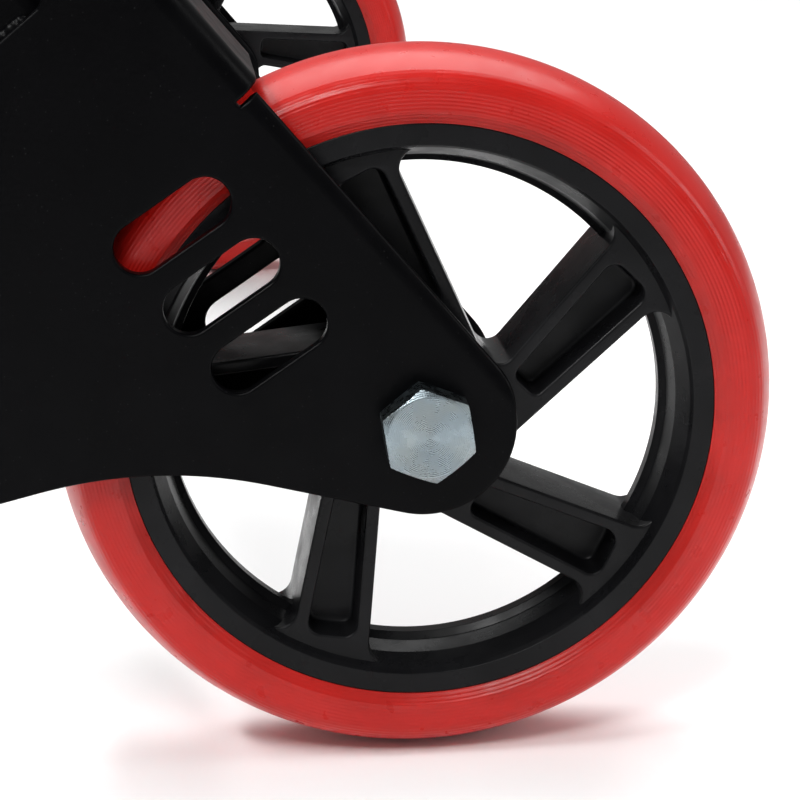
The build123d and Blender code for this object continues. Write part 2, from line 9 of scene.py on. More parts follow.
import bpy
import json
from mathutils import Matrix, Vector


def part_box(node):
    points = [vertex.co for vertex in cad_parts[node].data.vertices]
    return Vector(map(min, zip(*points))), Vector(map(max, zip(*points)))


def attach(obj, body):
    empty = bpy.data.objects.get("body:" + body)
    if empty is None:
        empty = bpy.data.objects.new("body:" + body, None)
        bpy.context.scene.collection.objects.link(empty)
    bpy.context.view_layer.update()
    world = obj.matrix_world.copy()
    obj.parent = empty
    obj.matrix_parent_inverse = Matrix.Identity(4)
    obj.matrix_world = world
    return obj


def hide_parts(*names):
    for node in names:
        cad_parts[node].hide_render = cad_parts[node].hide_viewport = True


bl_info = {
    "name": "Twin Wheel Carriage",
    "version": (1, 0, 0),
    "blender": (4, 5, 0),
    "location": "View3D > Sidebar > Carriage",
    "description": "Builds the finished pieces of a twin wheel carriage around its frame",
    "category": "Add Mesh",
}

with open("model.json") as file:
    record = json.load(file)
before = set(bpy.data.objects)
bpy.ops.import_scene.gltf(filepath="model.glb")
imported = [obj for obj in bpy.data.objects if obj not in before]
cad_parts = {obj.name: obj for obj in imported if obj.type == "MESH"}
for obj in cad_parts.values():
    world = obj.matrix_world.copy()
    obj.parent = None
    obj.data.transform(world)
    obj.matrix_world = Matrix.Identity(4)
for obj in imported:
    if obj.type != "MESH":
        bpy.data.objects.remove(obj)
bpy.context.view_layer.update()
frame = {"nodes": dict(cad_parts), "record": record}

import json
from math import atan2, ceil, cos, pi, radians, sin, sqrt, tan

import bmesh
import bpy
from bpy.props import (
    FloatProperty,
    FloatVectorProperty,
    IntProperty,
    PointerProperty,
)
from mathutils import Vector, geometry

SIDES = ("left", "right")
LATHE_STEPS = 192
BEAD_RIPPLE = 0.0016        # from one ripple of a weld bead to the next
RIM_FLANGE = 0.0018         # thickness of the rim's flanges beside the tyre
TYRE_TOE = 0.0022           # the tyre's side face slopes down to the rim over this radius
WINDOW_FILLETS = (0.004, 0.003)     # corners of a rim window, at the rim and at the hub
POCKET_SPAN = (0.018, 0.0485)       # ends of a spoke's pockets along its middle line
RELIEF_FLOOR = 0.0006       # floor of a bend relief, in from the bend
TOP_KINK = -0.0015          # the fork's top edge turns steeper here, across the rake
AXLE_HOLE = 0.0053          # radii of the bolt holes
STAY_HOLE = 0.0043


# ------------------------------------------------------------------ settings
def length(name, description, default):
    return FloatProperty(
        name=name, description=description, default=default, unit="LENGTH", subtype="DISTANCE", precision=5
    )


def angle(name, description, degrees):
    return FloatProperty(name=name, description=description, default=radians(degrees), subtype="ANGLE")


def colour(name, description, default):
    return FloatVectorProperty(
        name=name, description=description, default=default, size=3, min=0, max=1, subtype="COLOR"
    )


class WheelSettings(bpy.types.PropertyGroup):
    """Tyre and rim."""

    tyre_radius: length("Tyre radius", "Outer radius of the tyre", 0.0725)
    crown_radius: length("Crown radius", "Radius of the tread across the tyre", 0.022)
    tyre_half_width: length("Tyre half width", "Half of the tyre's greatest width", 0.0137)
    rim_edge: length("Rim edge radius", "Where tyre and rim meet on the side face", 0.0588)
    rim_seat: length("Rim seat radius", "Bottom of the channel the tyre is cast into", 0.057)
    rim_inner: length("Rim inner radius", "Round that the spokes run into", 0.0535)
    rim_crest: length("Rim crest", "Radius of the crest round the middle of the inner wall", 0.0496)
    rim_half_width: length("Rim half width", "Half of the rim's width", 0.0122)
    hub_radius: length("Hub radius", "Outer radius of the hub barrel", 0.0175)
    spokes: IntProperty(name="Spokes", description="Number of spokes", default=5, min=3, max=12)
    spoke_hub_half: length("Spoke half width at hub", "Half width of a spoke's inner end", 0.0049)
    spoke_rim_half: length("Spoke half width at rim", "Half width of a spoke's outer end", 0.0082)
    spoke_offset: length("Spoke offset", "Distance of a spoke's middle line from the axle", 0.0114)
    spoke_start: length("Spoke start", "Inner end of a spoke along its middle line", 0.002)
    spoke_end: length("Spoke end", "Outer end of a spoke along its middle line", 0.054)
    spoke_half_depth: length("Spoke half depth", "Half depth of a spoke along the axle", 0.0098)
    spoke_web_half: length("Spoke web half", "Half thickness of a spoke's middle panel", 0.0025)
    spoke_rib: length("Spoke rib", "Width of each rib along a spoke", 0.0027)
    spoke_angle_left: angle("Left spoke angle", "Turn of the left wheel's spokes", 45.9)
    spoke_angle_right: angle("Right spoke angle", "Turn of the right wheel's spokes", -6.9)


class ForkSettings(bpy.types.PropertyGroup):
    """Folded sheet-metal fork."""

    gap: length("Cheek gap", "Clear width between the cheeks", 0.0318)
    sheet: length("Sheet", "Thickness of the steel sheet", 0.003)
    nose: length("Nose radius", "Round end about the axle and about the stay bolt", 0.018)
    belly_slope: angle("Belly slope", "Angle at which the lower edge leaves the nose", 14.0)
    belly_drop: length("Belly drop", "Middle of the lower edge below the axle", 0.0081)
    rake: angle("Rake", "Angle of legs and rear fork edge above the horizontal", 49.8)
    top: length("Top edge", "Upper edge from the axle along the rake", 0.1093)
    lip_top: length("Lip top", "Top of the folded web from the axle along the rake", 0.116)
    web_start: length("Web start", "Lower end of the folded web", 0.0724)
    web_face: length("Web face", "Outer face of the web across the rake", 0.020)
    bend: length("Bend radius", "Outer radius of the two bends", 0.005)
    relief: length("Bend relief", "Size of the notch below each bend", 0.0012)
    slot_length: length("Slot length", "Overall length of a slot", 0.025)
    slot_width: length("Slot width", "Width of a slot", 0.010)
    slot_pitch: length("Slot pitch", "Distance from slot to slot", 0.015)
    slot_angle: angle("Slot angle", "Direction of each slot", 34.3)
    slot_row: angle("Slot row angle", "Direction of the row of slots", -53.2)
    slot_x: length("Slot row x", "Middle slot from the axle, along X", -0.0392)
    slot_z: length("Slot row z", "Middle slot from the axle, along Z", 0.0294)
    edge: length("Edge rounding", "Rounding of the coated sheet's edges", 0.0006)


class TubeSettings(bpy.types.PropertyGroup):
    """Legs, cross tube and plates."""

    leg_depth: length("Leg depth", "Size of the leg tube across the rake", 0.0508)
    leg_wall: length("Leg wall", "Wall of the leg tube", 0.0025)
    corner: length("Tube corner", "Outer corner radius of the tubes", 0.004)
    leg_start: length("Leg start", "Lower end of the leg from the axle", 0.080)
    leg_end: length("Leg end", "Upper end of the leg from the axle", 0.262)
    cap_rise: length("Cap rise", "Height of a leg cap above the tube", 0.003)
    beam_wall: length("Cross tube wall", "Wall of the cross tube", 0.0025)
    plate_corner: length("Plate corner", "Corner radius of flanges and plate", 0.008)
    flange_half_length: length("Flange half length", "Half the flange along the leg", 0.052)
    weld: length("Weld size", "Leg length of the fillet welds", 0.0026)


class FinishSettings(bpy.types.PropertyGroup):
    """Colours of the finishes."""

    powder: colour("Powder coat", "Black powder coat", (0.0008, 0.0008, 0.0011))
    polyurethane: colour("Polyurethane", "Red of the tyres", (0.47, 0.008, 0.005))
    # Darker red beside the rim is painted shade, where the tyre steps down to meet the rim.
    polyurethane_rim_shade: colour("Polyurethane rim shade", "Red beside the rim", (0.34, 0.008, 0.005))
    nylon: colour("Nylon", "Black nylon of the rims", (0.0042, 0.0042, 0.0047))
    zinc: colour("Zinc", "Bright zinc plate", (0.27, 0.315, 0.335))
    bearing: colour("Bearing steel", "Ground steel", (0.62, 0.62, 0.62))
    seal: colour("Seal rubber", "Bearing shields", (0.02, 0.02, 0.022))
    cap: colour("Cap plastic", "Leg caps", (0.013, 0.013, 0.014))
    insert: colour("Lock ring", "Nylon ring of the lock nuts", (0.75, 0.74, 0.70))
    floor: colour("Floor", "Pale floor", (0.97, 0.97, 0.97))


class StageSettings(bpy.types.PropertyGroup):
    """Camera, floor and lights."""

    camera_x: length("Camera X", "Camera from the left axle, along X", -0.0554)
    camera_y: length("Camera Y", "Camera from the left axle, along Y", -0.4800)
    camera_z: length("Camera Z", "Camera from the left axle, along Z", 0.1469)
    camera_turn: angle("Camera turn", "Turn of the view from +Y towards +X", 6.22)
    camera_tilt: angle("Camera tilt", "Tilt of the view below the horizontal", 16.91)
    lens: FloatProperty(name="Lens", description="Focal length in mm", default=112.5)
    floor_size: length("Floor size", "Side of the square floor", 12.0)


def settings(part):
    """The property group of one part of the carriage, such as "wheel"."""
    return getattr(bpy.context.scene, f"carriage_{part}")


# ------------------------------------------------------------------ places
def axle_centre(side):
    low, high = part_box(f"tyre_{side}")
    return (low + high) / 2


def outboard(side):
    """Sign of Y that points away from the other wheel."""
    return -1 if axle_centre(side).y < 0 else 1


def rake_axes():
    """Up the leg and to its rear, as (x, z)."""
    rake = settings("fork").rake
    return Vector((-cos(rake), sin(rake))), Vector((sin(rake), cos(rake)))


def rake_point(t, n):
    """(x, z) from the axle of a point t up the leg and n to its rear."""
    along, across = rake_axes()
    return t * along + n * across


def stay_offset(side):
    """X distance from the axle to the stay bolt."""
    low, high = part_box(f"stay_sleeve_{side}")
    return (low.x + high.x) / 2 - axle_centre(side).x


# ------------------------------------------------------------------ outlines
def arc(centre, radius, start, end, step=radians(3)):
    """Points on an arc, both ends included."""
    count = max(2, ceil(abs(end - start) / step))
    return [
        Vector((centre[0] + radius * cos(start + (end - start) * k / count),
                centre[1] + radius * sin(start + (end - start) * k / count)))
        for k in range(count + 1)
    ]


def rounded(points, radius, steps=6):
    """Closed path with rounded corners; radius is one number, or one for each corner."""
    path = []
    count = len(points)
    for k in range(count):
        size = radius[k] if hasattr(radius, "__len__") else radius
        here = Vector(points[k])
        back = (Vector(points[k - 1]) - here)
        ahead = (Vector(points[(k + 1) % count]) - here)
        half = back.angle(ahead) / 2
        if size <= 0 or half > radians(89.5):
            path.append(here)
            continue
        reach = min(size / tan(half), 0.499 * back.length, 0.499 * ahead.length)
        size = reach * tan(half)
        back.normalize()
        ahead.normalize()
        centre = here + (back + ahead).normalized() * (size / sin(half))
        start = here + back * reach - centre
        end = here + ahead * reach - centre
        turn = atan2(start.x * end.y - start.y * end.x, start.dot(end))
        base = atan2(start.y, start.x)
        path += [
            centre + Vector((cos(base + turn * j / steps), sin(base + turn * j / steps))) * size
            for j in range(steps + 1)
        ]
    return tidy_loop(path)


def tidy_loop(loop, nearest=2e-6):
    """The loop without points that lie on the one before."""
    kept = []
    for p in loop:
        if not kept or (p - kept[-1]).length > nearest:
            kept.append(p)
    while len(kept) > 1 and (kept[0] - kept[-1]).length <= nearest:
        kept.pop()
    return kept


def oriented(loop, clockwise=False):
    area = sum(a.x * b.y - b.x * a.y for a, b in zip(loop, loop[1:] + loop[:1]))
    return loop if (area < 0) == clockwise else loop[::-1]


def moved_left(loop, distance):
    """Loop shifted to its own left side, which is into the material."""
    if not distance:
        return list(loop)
    shifted = []
    count = len(loop)
    for k in range(count):
        one = (loop[k] - loop[k - 1]).normalized()
        two = (loop[(k + 1) % count] - loop[k]).normalized()
        normal = Vector((-one.y - two.y, one.x + two.x))
        share = max(0.35, 1 + one.dot(two))
        shifted.append(loop[k] + normal * (distance / share))
    return shifted


def circle(radius, centre=(0, 0), steps=64):
    return [
        Vector((centre[0] + radius * cos(2 * pi * k / steps), centre[1] + radius * sin(2 * pi * k / steps)))
        for k in range(steps)
    ]


def rectangle(width, height, corner, centre=(0, 0), steps=6):
    w, h = width / 2, height / 2
    path = rounded([(w, -h), (w, h), (-w, h), (-w, -h)], corner, steps)
    return [p + Vector(centre) for p in path]


def slot_loop(centre, overall, width, direction):
    r = width / 2
    half = overall / 2 - r
    axis = Vector((cos(direction), sin(direction)))
    a, b = Vector(centre) + axis * half, Vector(centre) - axis * half
    return arc(a, r, direction - pi / 2, direction + pi / 2, radians(8)) + arc(
        b, r, direction + pi / 2, direction + 3 * pi / 2, radians(8)
    )


# ------------------------------------------------------------------ shells
class Shells:
    """Closed shells gathered for one piece; each is given in its own coordinates."""

    def __init__(self):
        self.verts = []
        self.faces = []

    def add(self, shell, place=None):
        verts, faces = shell
        start = len(self.verts)
        self.verts += [place(v) if place else v for v in verts]
        self.faces += [tuple(start + k for k in f) for f in faces]
        return self


def lathe(profile, steps=LATHE_STEPS):
    """Closed turned shell from a closed list of (radius, outboard) points."""
    verts, faces, rings = [], [], []
    for r, a in profile:
        start = len(verts)
        if r < 1e-7:
            verts.append(Vector((0, 0, a)))
            rings.append([start] * steps)
        else:
            turns = [2 * pi * k / steps for k in range(steps)]
            verts += [Vector((r * cos(t), r * sin(t), a)) for t in turns]
            rings.append(list(range(start, start + steps)))
    for one, two in zip(rings, rings[1:] + rings[:1]):
        for k in range(steps):
            m = (k + 1) % steps
            corners = []
            for v in (one[k], two[k], two[m], one[m]):
                if v not in corners:
                    corners.append(v)
            if len(corners) > 2:
                faces.append(corners)
    return verts, faces


def plate(outer, holes, low, high, edge, pockets=(), draft=0.0, steps=3):
    """Plate between two heights with rounded edges, through holes and blind pockets.

    Each pocket is (loop, floor height) and opens to the nearer face. The draft makes
    through holes narrower at mid height, where the mould halves meet.
    """
    verts, faces = [], []
    rounding = [
        (edge * (1 - sin(pi / 2 * k / steps)), edge * (1 - cos(pi / 2 * k / steps))) for k in range(steps + 1)
    ]
    middle = (low + high) / 2
    through = [(inset, high - drop) for inset, drop in rounding]
    through += [(-draft, middle)] if draft else []
    through += [(inset, low + drop) for inset, drop in reversed(rounding)]

    def wall(loop, levels):
        """Rings of one loop at each level, joined; returns the first and last ring."""
        rings = []
        for inset, height in levels:
            start = len(verts)
            verts.extend(Vector((p.x, p.y, height)) for p in moved_left(loop, inset))
            rings.append(range(start, len(verts)))
        for one, two in zip(rings, rings[1:]):
            for k in range(len(loop)):
                m = (k + 1) % len(loop)
                faces.append((one[k], two[k], two[m], one[m]))
        return rings[0], rings[-1]

    def cap(rings):
        loops = [[verts[k] for k in ring] for ring in rings]
        flat = [k for ring in rings for k in ring]
        faces.extend(tuple(flat[k] for k in tri) for tri in geometry.tessellate_polygon(loops))

    tops, bottoms = [], []
    first, last = wall(oriented(outer), [level for level in through if level[0] >= 0])
    tops.append(first)
    bottoms.append(last)
    for hole in holes:
        first, last = wall(oriented(hole, clockwise=True), through)
        tops.append(first)
        bottoms.append(last)
    for loop, floor in pockets:
        way = 1 if floor > middle else -1
        face = high if way > 0 else low
        depth = abs(face - floor)
        fillet = min(depth / 3, 0.0008)
        taper = 0.0003
        levels = [(inset, face - way * drop) for inset, drop in rounding]
        turns = [pi / 2 * k / steps for k in range(steps + 1)]
        levels += [
            (-taper - fillet * (1 - cos(t)), floor + way * fillet * (1 - sin(t))) for t in turns
        ]
        first, last = wall(oriented(loop, clockwise=True), levels)
        (tops if way > 0 else bottoms).append(first)
        cap([last])
    cap(tops)
    cap(bottoms)
    return verts, faces


def hexagon(across_flats, height, bore=0.0, chamfers=(False, True), spin=0.0):
    """Hexagon from height 0 up, with the turned chamfer of a bolt head or nut."""
    corner = across_flats / 2 / cos(pi / 6)
    points = [(corner * cos(pi / 3 * k + spin), corner * sin(pi / 3 * k + spin)) for k in range(6)]
    loop = []
    for p, q in zip(points, points[1:] + points[:1]):
        loop += [Vector(p).lerp(Vector(q), j / 8) for j in range(8)]
    loop = [v * min(1.0, (corner - across_flats * 0.006) / v.length) for v in loop]
    face_r = across_flats / 2 * 0.955
    slope = tan(radians(28))
    levels = []
    verts, faces = [], []

    def ring(radius_of, height_of):
        start = len(verts)
        for v in loop:
            r = radius_of(v)
            verts.append(Vector((v.x, v.y, 0)) * (r / v.length) + Vector((0, 0, height_of(v))))
        levels.append(range(start, len(verts)))

    def drop(v, on):
        return max(0.0, v.length - face_r) * slope if on else 0.0

    low, top = chamfers
    inner = bore if bore else across_flats * 0.02
    ring(lambda v: inner, lambda v: 0)
    ring(lambda v: face_r, lambda v: 0)
    ring(lambda v: v.length, lambda v: drop(v, low))
    ring(lambda v: v.length, lambda v: height - drop(v, top))
    ring(lambda v: face_r, lambda v: height)
    ring(lambda v: inner, lambda v: height)
    count = len(loop)
    pairs = list(zip(levels, levels[1:]))
    if bore:
        pairs.append((levels[-1], levels[0]))
    else:
        faces.append(tuple(levels[0]))
        faces.append(tuple(levels[-1]))
    for one, two in pairs:
        for k in range(count):
            m = (k + 1) % count
            faces.append((one[k], two[k], two[m], one[m]))
    return verts, faces


def screw_thread(radius, start, end, pitch, plain=0.0):
    """Shank along the height axis: plain for a stretch, then threaded to a bevelled tip."""
    around, per_turn = 48, 8
    depth = 0.61 * pitch
    way = 1 if end > start else -1
    total = abs(end - start)
    rows = ceil((total - plain) / pitch * per_turn)
    heights = [0.0, plain] if plain else [0.0]
    heights += [plain + (total - plain) * (k + 1) / rows for k in range(rows)]
    verts = [Vector((0, 0, start))]
    faces = []
    for h in heights:
        for k in range(around):
            phase = (h / pitch + k / around) % 1
            groove = max(0.0, 1 - abs(phase - 0.5) / 0.42) if h > plain + pitch * 0.3 else 0.0
            tip = max(0.0, 0.9 * pitch - (total - h))
            r = min(radius - depth * groove, radius - tip)
            turn = 2 * pi * k / around
            verts.append(Vector((r * cos(turn), r * sin(turn), start + way * h)))
    verts.append(Vector((0, 0, end)))
    for row in range(len(heights) - 1):
        for k in range(around):
            a = 1 + row * around + k
            b = 1 + row * around + (k + 1) % around
            faces.append((a, a + around, b + around, b))
    last = len(verts) - 1
    for k in range(around):
        m = (k + 1) % around
        faces.append((0, 1 + k, 1 + m))
        faces.append((last, last - around + m, last - around + k))
    return verts, faces


def bead(path, size, up_at, closed=False):
    """Weld bead along world-space points: a half-sunk tube with overlapping ripples.

    up_at gives the bead's upward direction from a point and the direction of travel.
    """
    around = 14
    verts, faces = [], []
    travelled = 0.0
    count = len(path)
    for k, p in enumerate(path):
        ahead = path[(k + 1) % count] if closed or k + 1 < count else p
        behind = path[k - 1] if closed or k else p
        tangent = (ahead - behind).normalized()
        side = tangent.cross(up_at(p, tangent)).normalized()
        raised = side.cross(tangent).normalized()
        if k:
            travelled += (p - path[k - 1]).length
        phase = (travelled / BEAD_RIPPLE) % 1
        swell = 0.86 + 0.16 * sqrt(phase) + 0.03 * sin(travelled * 1900)
        if not closed:
            from_end = min(k, count - 1 - k) / 4
            swell *= sqrt(min(1.0, from_end)) if from_end < 1 else 1.0
            swell = max(swell, 0.05)
        for j in range(around):
            turn = 2 * pi * j / around
            reach = size * swell
            verts.append(p + side * (reach * cos(turn)) + raised * (0.8 * reach * sin(turn)))
    for k in range(count if closed else count - 1):
        m = (k + 1) % count
        for j in range(around):
            n = (j + 1) % around
            faces.append((k * around + j, m * around + j, m * around + n, k * around + n))
    if not closed:
        faces.append(tuple(range(around)))
        faces.append(tuple((count - 1) * around + j for j in range(around)))
    return verts, faces


# ------------------------------------------------------------------ pieces
def side_place(side, x=0.0, z=0.0):
    """Maps (x, z, outboard) of a side's own coordinates to a point about the axle."""
    out = outboard(side)
    return lambda v: Vector((x + v[0], out * v[2], z + v[1]))


def make_piece(name, shells, origin, finish, body, replaces=(), sharp=30.0):
    """One object from gathered shells, with even normals, riding on a CAD body."""
    mesh = bpy.data.meshes.new(name)
    mesh.from_pydata([tuple(v) for v in shells.verts], [], shells.faces)
    bm = bmesh.new()
    bm.from_mesh(mesh)
    bmesh.ops.remove_doubles(bm, verts=bm.verts, dist=1e-7)
    bmesh.ops.recalc_face_normals(bm, faces=bm.faces)
    for face in bm.faces:
        face.smooth = True
    bm.to_mesh(mesh)
    bm.free()
    mesh.set_sharp_from_angle(angle=radians(sharp))
    piece = bpy.data.objects.new(name, mesh)
    bpy.context.scene.collection.objects.link(piece)
    piece.location = origin
    piece.data.materials.append(finish)
    evened = piece.modifiers.new("Even normals", "WEIGHTED_NORMAL")
    evened.keep_sharp = True
    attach(piece, body)
    if replaces:
        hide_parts(*replaces)
    return piece


def refinish(node, finish):
    """Gives a CAD node that keeps its own shape its procedural finish."""
    data = frame["nodes"][node].data
    data.materials.clear()
    data.materials.append(finish)
    for face in data.polygons:
        face.material_index = 0


# ------------------------------------------------------------------ finishes
class Finish:
    """A new material with a Principled shader and short calls to add its nodes."""

    def __init__(self, name, **values):
        self.material = bpy.data.materials.new(name)
        self.material.use_nodes = True
        self.tree = self.material.node_tree
        self.tree.nodes.clear()
        self.shader = self.tree.nodes.new("ShaderNodeBsdfPrincipled")
        output = self.tree.nodes.new("ShaderNodeOutputMaterial")
        self.link(self.shader.outputs["BSDF"], output.inputs["Surface"])
        for socket, value in values.items():
            self.shader.inputs[socket].default_value = value
        self.coords = self.tree.nodes.new("ShaderNodeTexCoord").outputs["Object"]

    def link(self, source, target):
        self.tree.links.new(source, target)

    def noise(self, scale, detail=3.0, roughness=0.5, coords=None):
        node = self.tree.nodes.new("ShaderNodeTexNoise")
        node.inputs["Scale"].default_value = scale
        node.inputs["Detail"].default_value = detail
        node.inputs["Roughness"].default_value = roughness
        self.link(coords or self.coords, node.inputs["Vector"])
        return node.outputs["Fac"]

    def cells(self, scale, feature="F1"):
        node = self.tree.nodes.new("ShaderNodeTexVoronoi")
        node.feature = feature
        node.inputs["Scale"].default_value = scale
        self.link(self.coords, node.inputs["Vector"])
        return node.outputs["Distance"]

    def math(self, kind, a, b=0.0, clamp=False):
        node = self.tree.nodes.new("ShaderNodeMath")
        node.operation = kind
        node.use_clamp = clamp
        for socket, value in zip(node.inputs, (a, b)):
            if isinstance(value, (int, float)):
                socket.default_value = value
            else:
                self.link(value, socket)
        return node.outputs[0]

    def span(self, value, low, high, to_low=0.0, to_high=1.0, smooth=True):
        """Value carried from one range to another, held at the ends."""
        node = self.tree.nodes.new("ShaderNodeMapRange")
        node.interpolation_type = "SMOOTHSTEP" if smooth else "LINEAR"
        self.link(value, node.inputs["Value"])
        for socket, number in zip(("From Min", "From Max", "To Min", "To Max"), (low, high, to_low, to_high)):
            node.inputs[socket].default_value = number
        return node.outputs["Result"]

    def mix(self, share, one, two):
        node = self.tree.nodes.new("ShaderNodeMix")
        node.data_type = "RGBA"
        self.link(share, node.inputs["Factor"])
        for socket, value in (("A", one), ("B", two)):
            target = next(s for s in node.inputs if s.name == socket and s.type == "RGBA")
            if hasattr(value, "is_linked"):
                self.link(value, target)
            else:
                target.default_value = (*value, 1.0)
        return next(s for s in node.outputs if s.type == "RGBA")

    def radius(self):
        """Distance from the object's own Y axis."""
        flat = self.tree.nodes.new("ShaderNodeVectorMath")
        flat.operation = "MULTIPLY"
        flat.inputs[1].default_value = (1, 0, 1)
        self.link(self.coords, flat.inputs[0])
        size = self.tree.nodes.new("ShaderNodeVectorMath")
        size.operation = "LENGTH"
        self.link(flat.outputs[0], size.inputs[0])
        return size.outputs["Value"]

    def axis(self, letter):
        node = self.tree.nodes.new("ShaderNodeSeparateXYZ")
        self.link(self.coords, node.inputs[0])
        return node.outputs[letter]

    def bump(self, height, distance, strength=1.0, under=None):
        node = self.tree.nodes.new("ShaderNodeBump")
        node.inputs["Strength"].default_value = strength
        node.inputs["Distance"].default_value = distance
        self.link(height, node.inputs["Height"])
        if under:
            self.link(under, node.inputs["Normal"])
        self.link(node.outputs["Normal"], self.shader.inputs["Normal"])
        return node.outputs["Normal"]

    def set(self, socket, value):
        self.link(value, self.shader.inputs[socket])


def finish(name, **values):
    """Makes a function into one that builds the named material once and then returns it."""
    def wrap(build):
        def material():
            found = bpy.data.materials.get(name)
            if found:
                return found
            f = Finish(name, **values)
            build(f)
            return f.material
        return material
    return wrap


@finish("powder_coat", Roughness=0.36)
def powder_coat(f):
    """Semi-gloss black powder: orange peel, dust specks and a slightly uneven gloss."""
    base = tuple(settings("finish").powder)
    f.shader.inputs["Specular IOR Level"].default_value = 0.06
    cloud = f.noise(45, 4)
    specks = f.span(f.cells(620), 0.05, 0.11, 1.0, 0.0)
    tone = f.mix(f.span(cloud, 0.3, 0.7), base, tuple(c * 1.5 for c in base))
    f.set("Base Color", f.mix(f.math("MULTIPLY", specks, 0.12), tone, (0.09, 0.09, 0.09)))
    f.set("Roughness", f.span(f.noise(130, 5, 0.6), 0.3, 0.7, 0.29, 0.40))
    peel = f.bump(f.noise(950, 2, 0.45), 0.00006, 0.55)
    f.bump(f.noise(2600, 1), 0.00002, 0.5, under=peel)


@finish("cast_polyurethane", Roughness=0.33)
def polyurethane(f):
    """Cast polyurethane: deep satin red, with fine turned rings on the side faces and painted shade beside
    the rim.
    """
    colours, wheel = settings("finish"), settings("wheel")
    f.shader.inputs["Subsurface Weight"].default_value = 0.18
    f.shader.inputs["Subsurface Radius"].default_value = (0.004, 0.0009, 0.0005)
    f.shader.inputs["Subsurface Scale"].default_value = 1.0
    f.shader.inputs["Coat Weight"].default_value = 0.08
    f.shader.inputs["Coat Roughness"].default_value = 0.1
    f.shader.inputs["Specular IOR Level"].default_value = 0.28
    radius = f.radius()
    # Painted shade: the red darkens over the 6 mm beside the rim edge, where the tyre steps down to the rim.
    body = f.span(radius, wheel.rim_edge, wheel.rim_edge + 0.006)
    red = f.mix(body, tuple(colours.polyurethane_rim_shade), tuple(colours.polyurethane))
    lighter = tuple(min(1.0, c * 1.12 + 0.006) for c in colours.polyurethane)
    red = f.mix(f.span(f.noise(70, 3), 0.35, 0.7, 0, 0.6), red, lighter)
    f.set("Base Color", red)
    depth = f.math("ABSOLUTE", f.axis("Y"))
    face = f.span(depth, wheel.tyre_half_width - 0.0025, wheel.tyre_half_width - 0.0008)
    rings = f.math("SINE", f.math("MULTIPLY", radius, 2 * pi / 0.00075))
    drift = f.noise(300, 2)
    rings = f.math("MULTIPLY", f.math("MULTIPLY", rings, face), f.span(drift, 0.3, 0.75, 0.25, 1.0))
    f.set("Roughness", f.span(f.noise(240, 4), 0.3, 0.7, 0.27, 0.36))
    cut = f.bump(rings, 0.00004, 0.9)
    f.bump(f.noise(900, 2), 0.00002, 0.35, under=cut)


@finish("moulded_nylon", Roughness=0.3)
def moulded_nylon(f):
    """Glass-filled nylon: black, semi-gloss, with faint flow marks and fine grain."""
    base = tuple(settings("finish").nylon)
    f.shader.inputs["Specular IOR Level"].default_value = 0.13
    flow = f.noise(38, 5, 0.65)
    f.set("Base Color", f.mix(f.span(flow, 0.35, 0.75), base, tuple(c * 2.1 for c in base)))
    f.set("Roughness", f.span(f.noise(90, 5, 0.6), 0.3, 0.72, 0.22, 0.40))
    grain = f.bump(f.noise(1500, 2), 0.00002, 0.5)
    f.bump(f.noise(55, 2), 0.0004, 0.12, under=grain)


@finish("zinc_plate", Metallic=1.0, Roughness=0.26)
def zinc_plate(f):
    """Bright zinc on steel: faint blue and straw tints, turning marks and light scuffs."""
    base = tuple(settings("finish").zinc)
    tint = f.noise(160, 3)
    cool = (base[0] * 0.96, base[1] * 0.99, base[2] * 1.02)
    warm = (base[0] * 1.02, base[1] * 1.0, base[2] * 0.97)
    f.set("Base Color", f.mix(f.span(tint, 0.35, 0.65), cool, warm))
    rough = f.span(f.noise(420, 5, 0.7), 0.3, 0.75, 0.20, 0.42)
    f.set("Roughness", rough)
    rings = f.math("SINE", f.math("MULTIPLY", f.radius(), 2 * pi / 0.00034))
    turned = f.bump(rings, 0.00002, 0.9)
    pits = f.bump(f.noise(1400, 4, 0.7), 0.00002, 0.45, under=turned)
    f.bump(f.noise(260, 2), 0.00006, 0.12, under=pits)


@finish("ground_steel", Metallic=1.0, Roughness=0.18)
def bearing_steel(f):
    """Ground bearing steel with hairline grinding marks."""
    base = tuple(settings("finish").bearing)
    f.set("Base Color", f.mix(f.noise(200, 3), tuple(c * 0.86 for c in base), base))
    f.set("Roughness", f.span(f.noise(900, 3), 0.3, 0.7, 0.12, 0.26))
    f.bump(f.math("SINE", f.math("MULTIPLY", f.axis("Y"), 2 * pi / 0.00012)), 0.000003, 0.4)


@finish("nitrile_rubber", Roughness=0.55)
def seal_rubber(f):
    """Nitrile rubber of the bearing shields."""
    base = tuple(settings("finish").seal)
    f.set("Base Color", f.mix(f.noise(300, 3), base, tuple(c * 1.8 for c in base)))
    f.set("Roughness", f.span(f.noise(700, 4), 0.3, 0.7, 0.45, 0.68))
    f.bump(f.noise(1800, 3), 0.00002, 0.5)


@finish("moulded_polyethylene", Roughness=0.5)
def cap_plastic(f):
    """Moulded polyethylene with a fine spark-eroded grain."""
    base = tuple(settings("finish").cap)
    f.set("Base Color", f.mix(f.noise(60, 4), base, tuple(c * 1.9 for c in base)))
    f.set("Roughness", f.span(f.noise(500, 4), 0.3, 0.7, 0.42, 0.6))
    f.bump(f.cells(1700), 0.00005, 0.5)


@finish("lock_ring", Roughness=0.4)
def lock_ring(f):
    """Off-white nylon of the lock nuts' rings."""
    base = tuple(settings("finish").insert)
    f.shader.inputs["Subsurface Weight"].default_value = 0.2
    f.shader.inputs["Subsurface Radius"].default_value = (0.001, 0.001, 0.0008)
    f.shader.inputs["Subsurface Scale"].default_value = 1.0
    f.set("Base Color", f.mix(f.noise(260, 3), tuple(c * 0.88 for c in base), base))
    f.set("Roughness", f.span(f.noise(800, 3), 0.3, 0.7, 0.32, 0.48))
    f.bump(f.noise(1500, 2), 0.00002, 0.4)


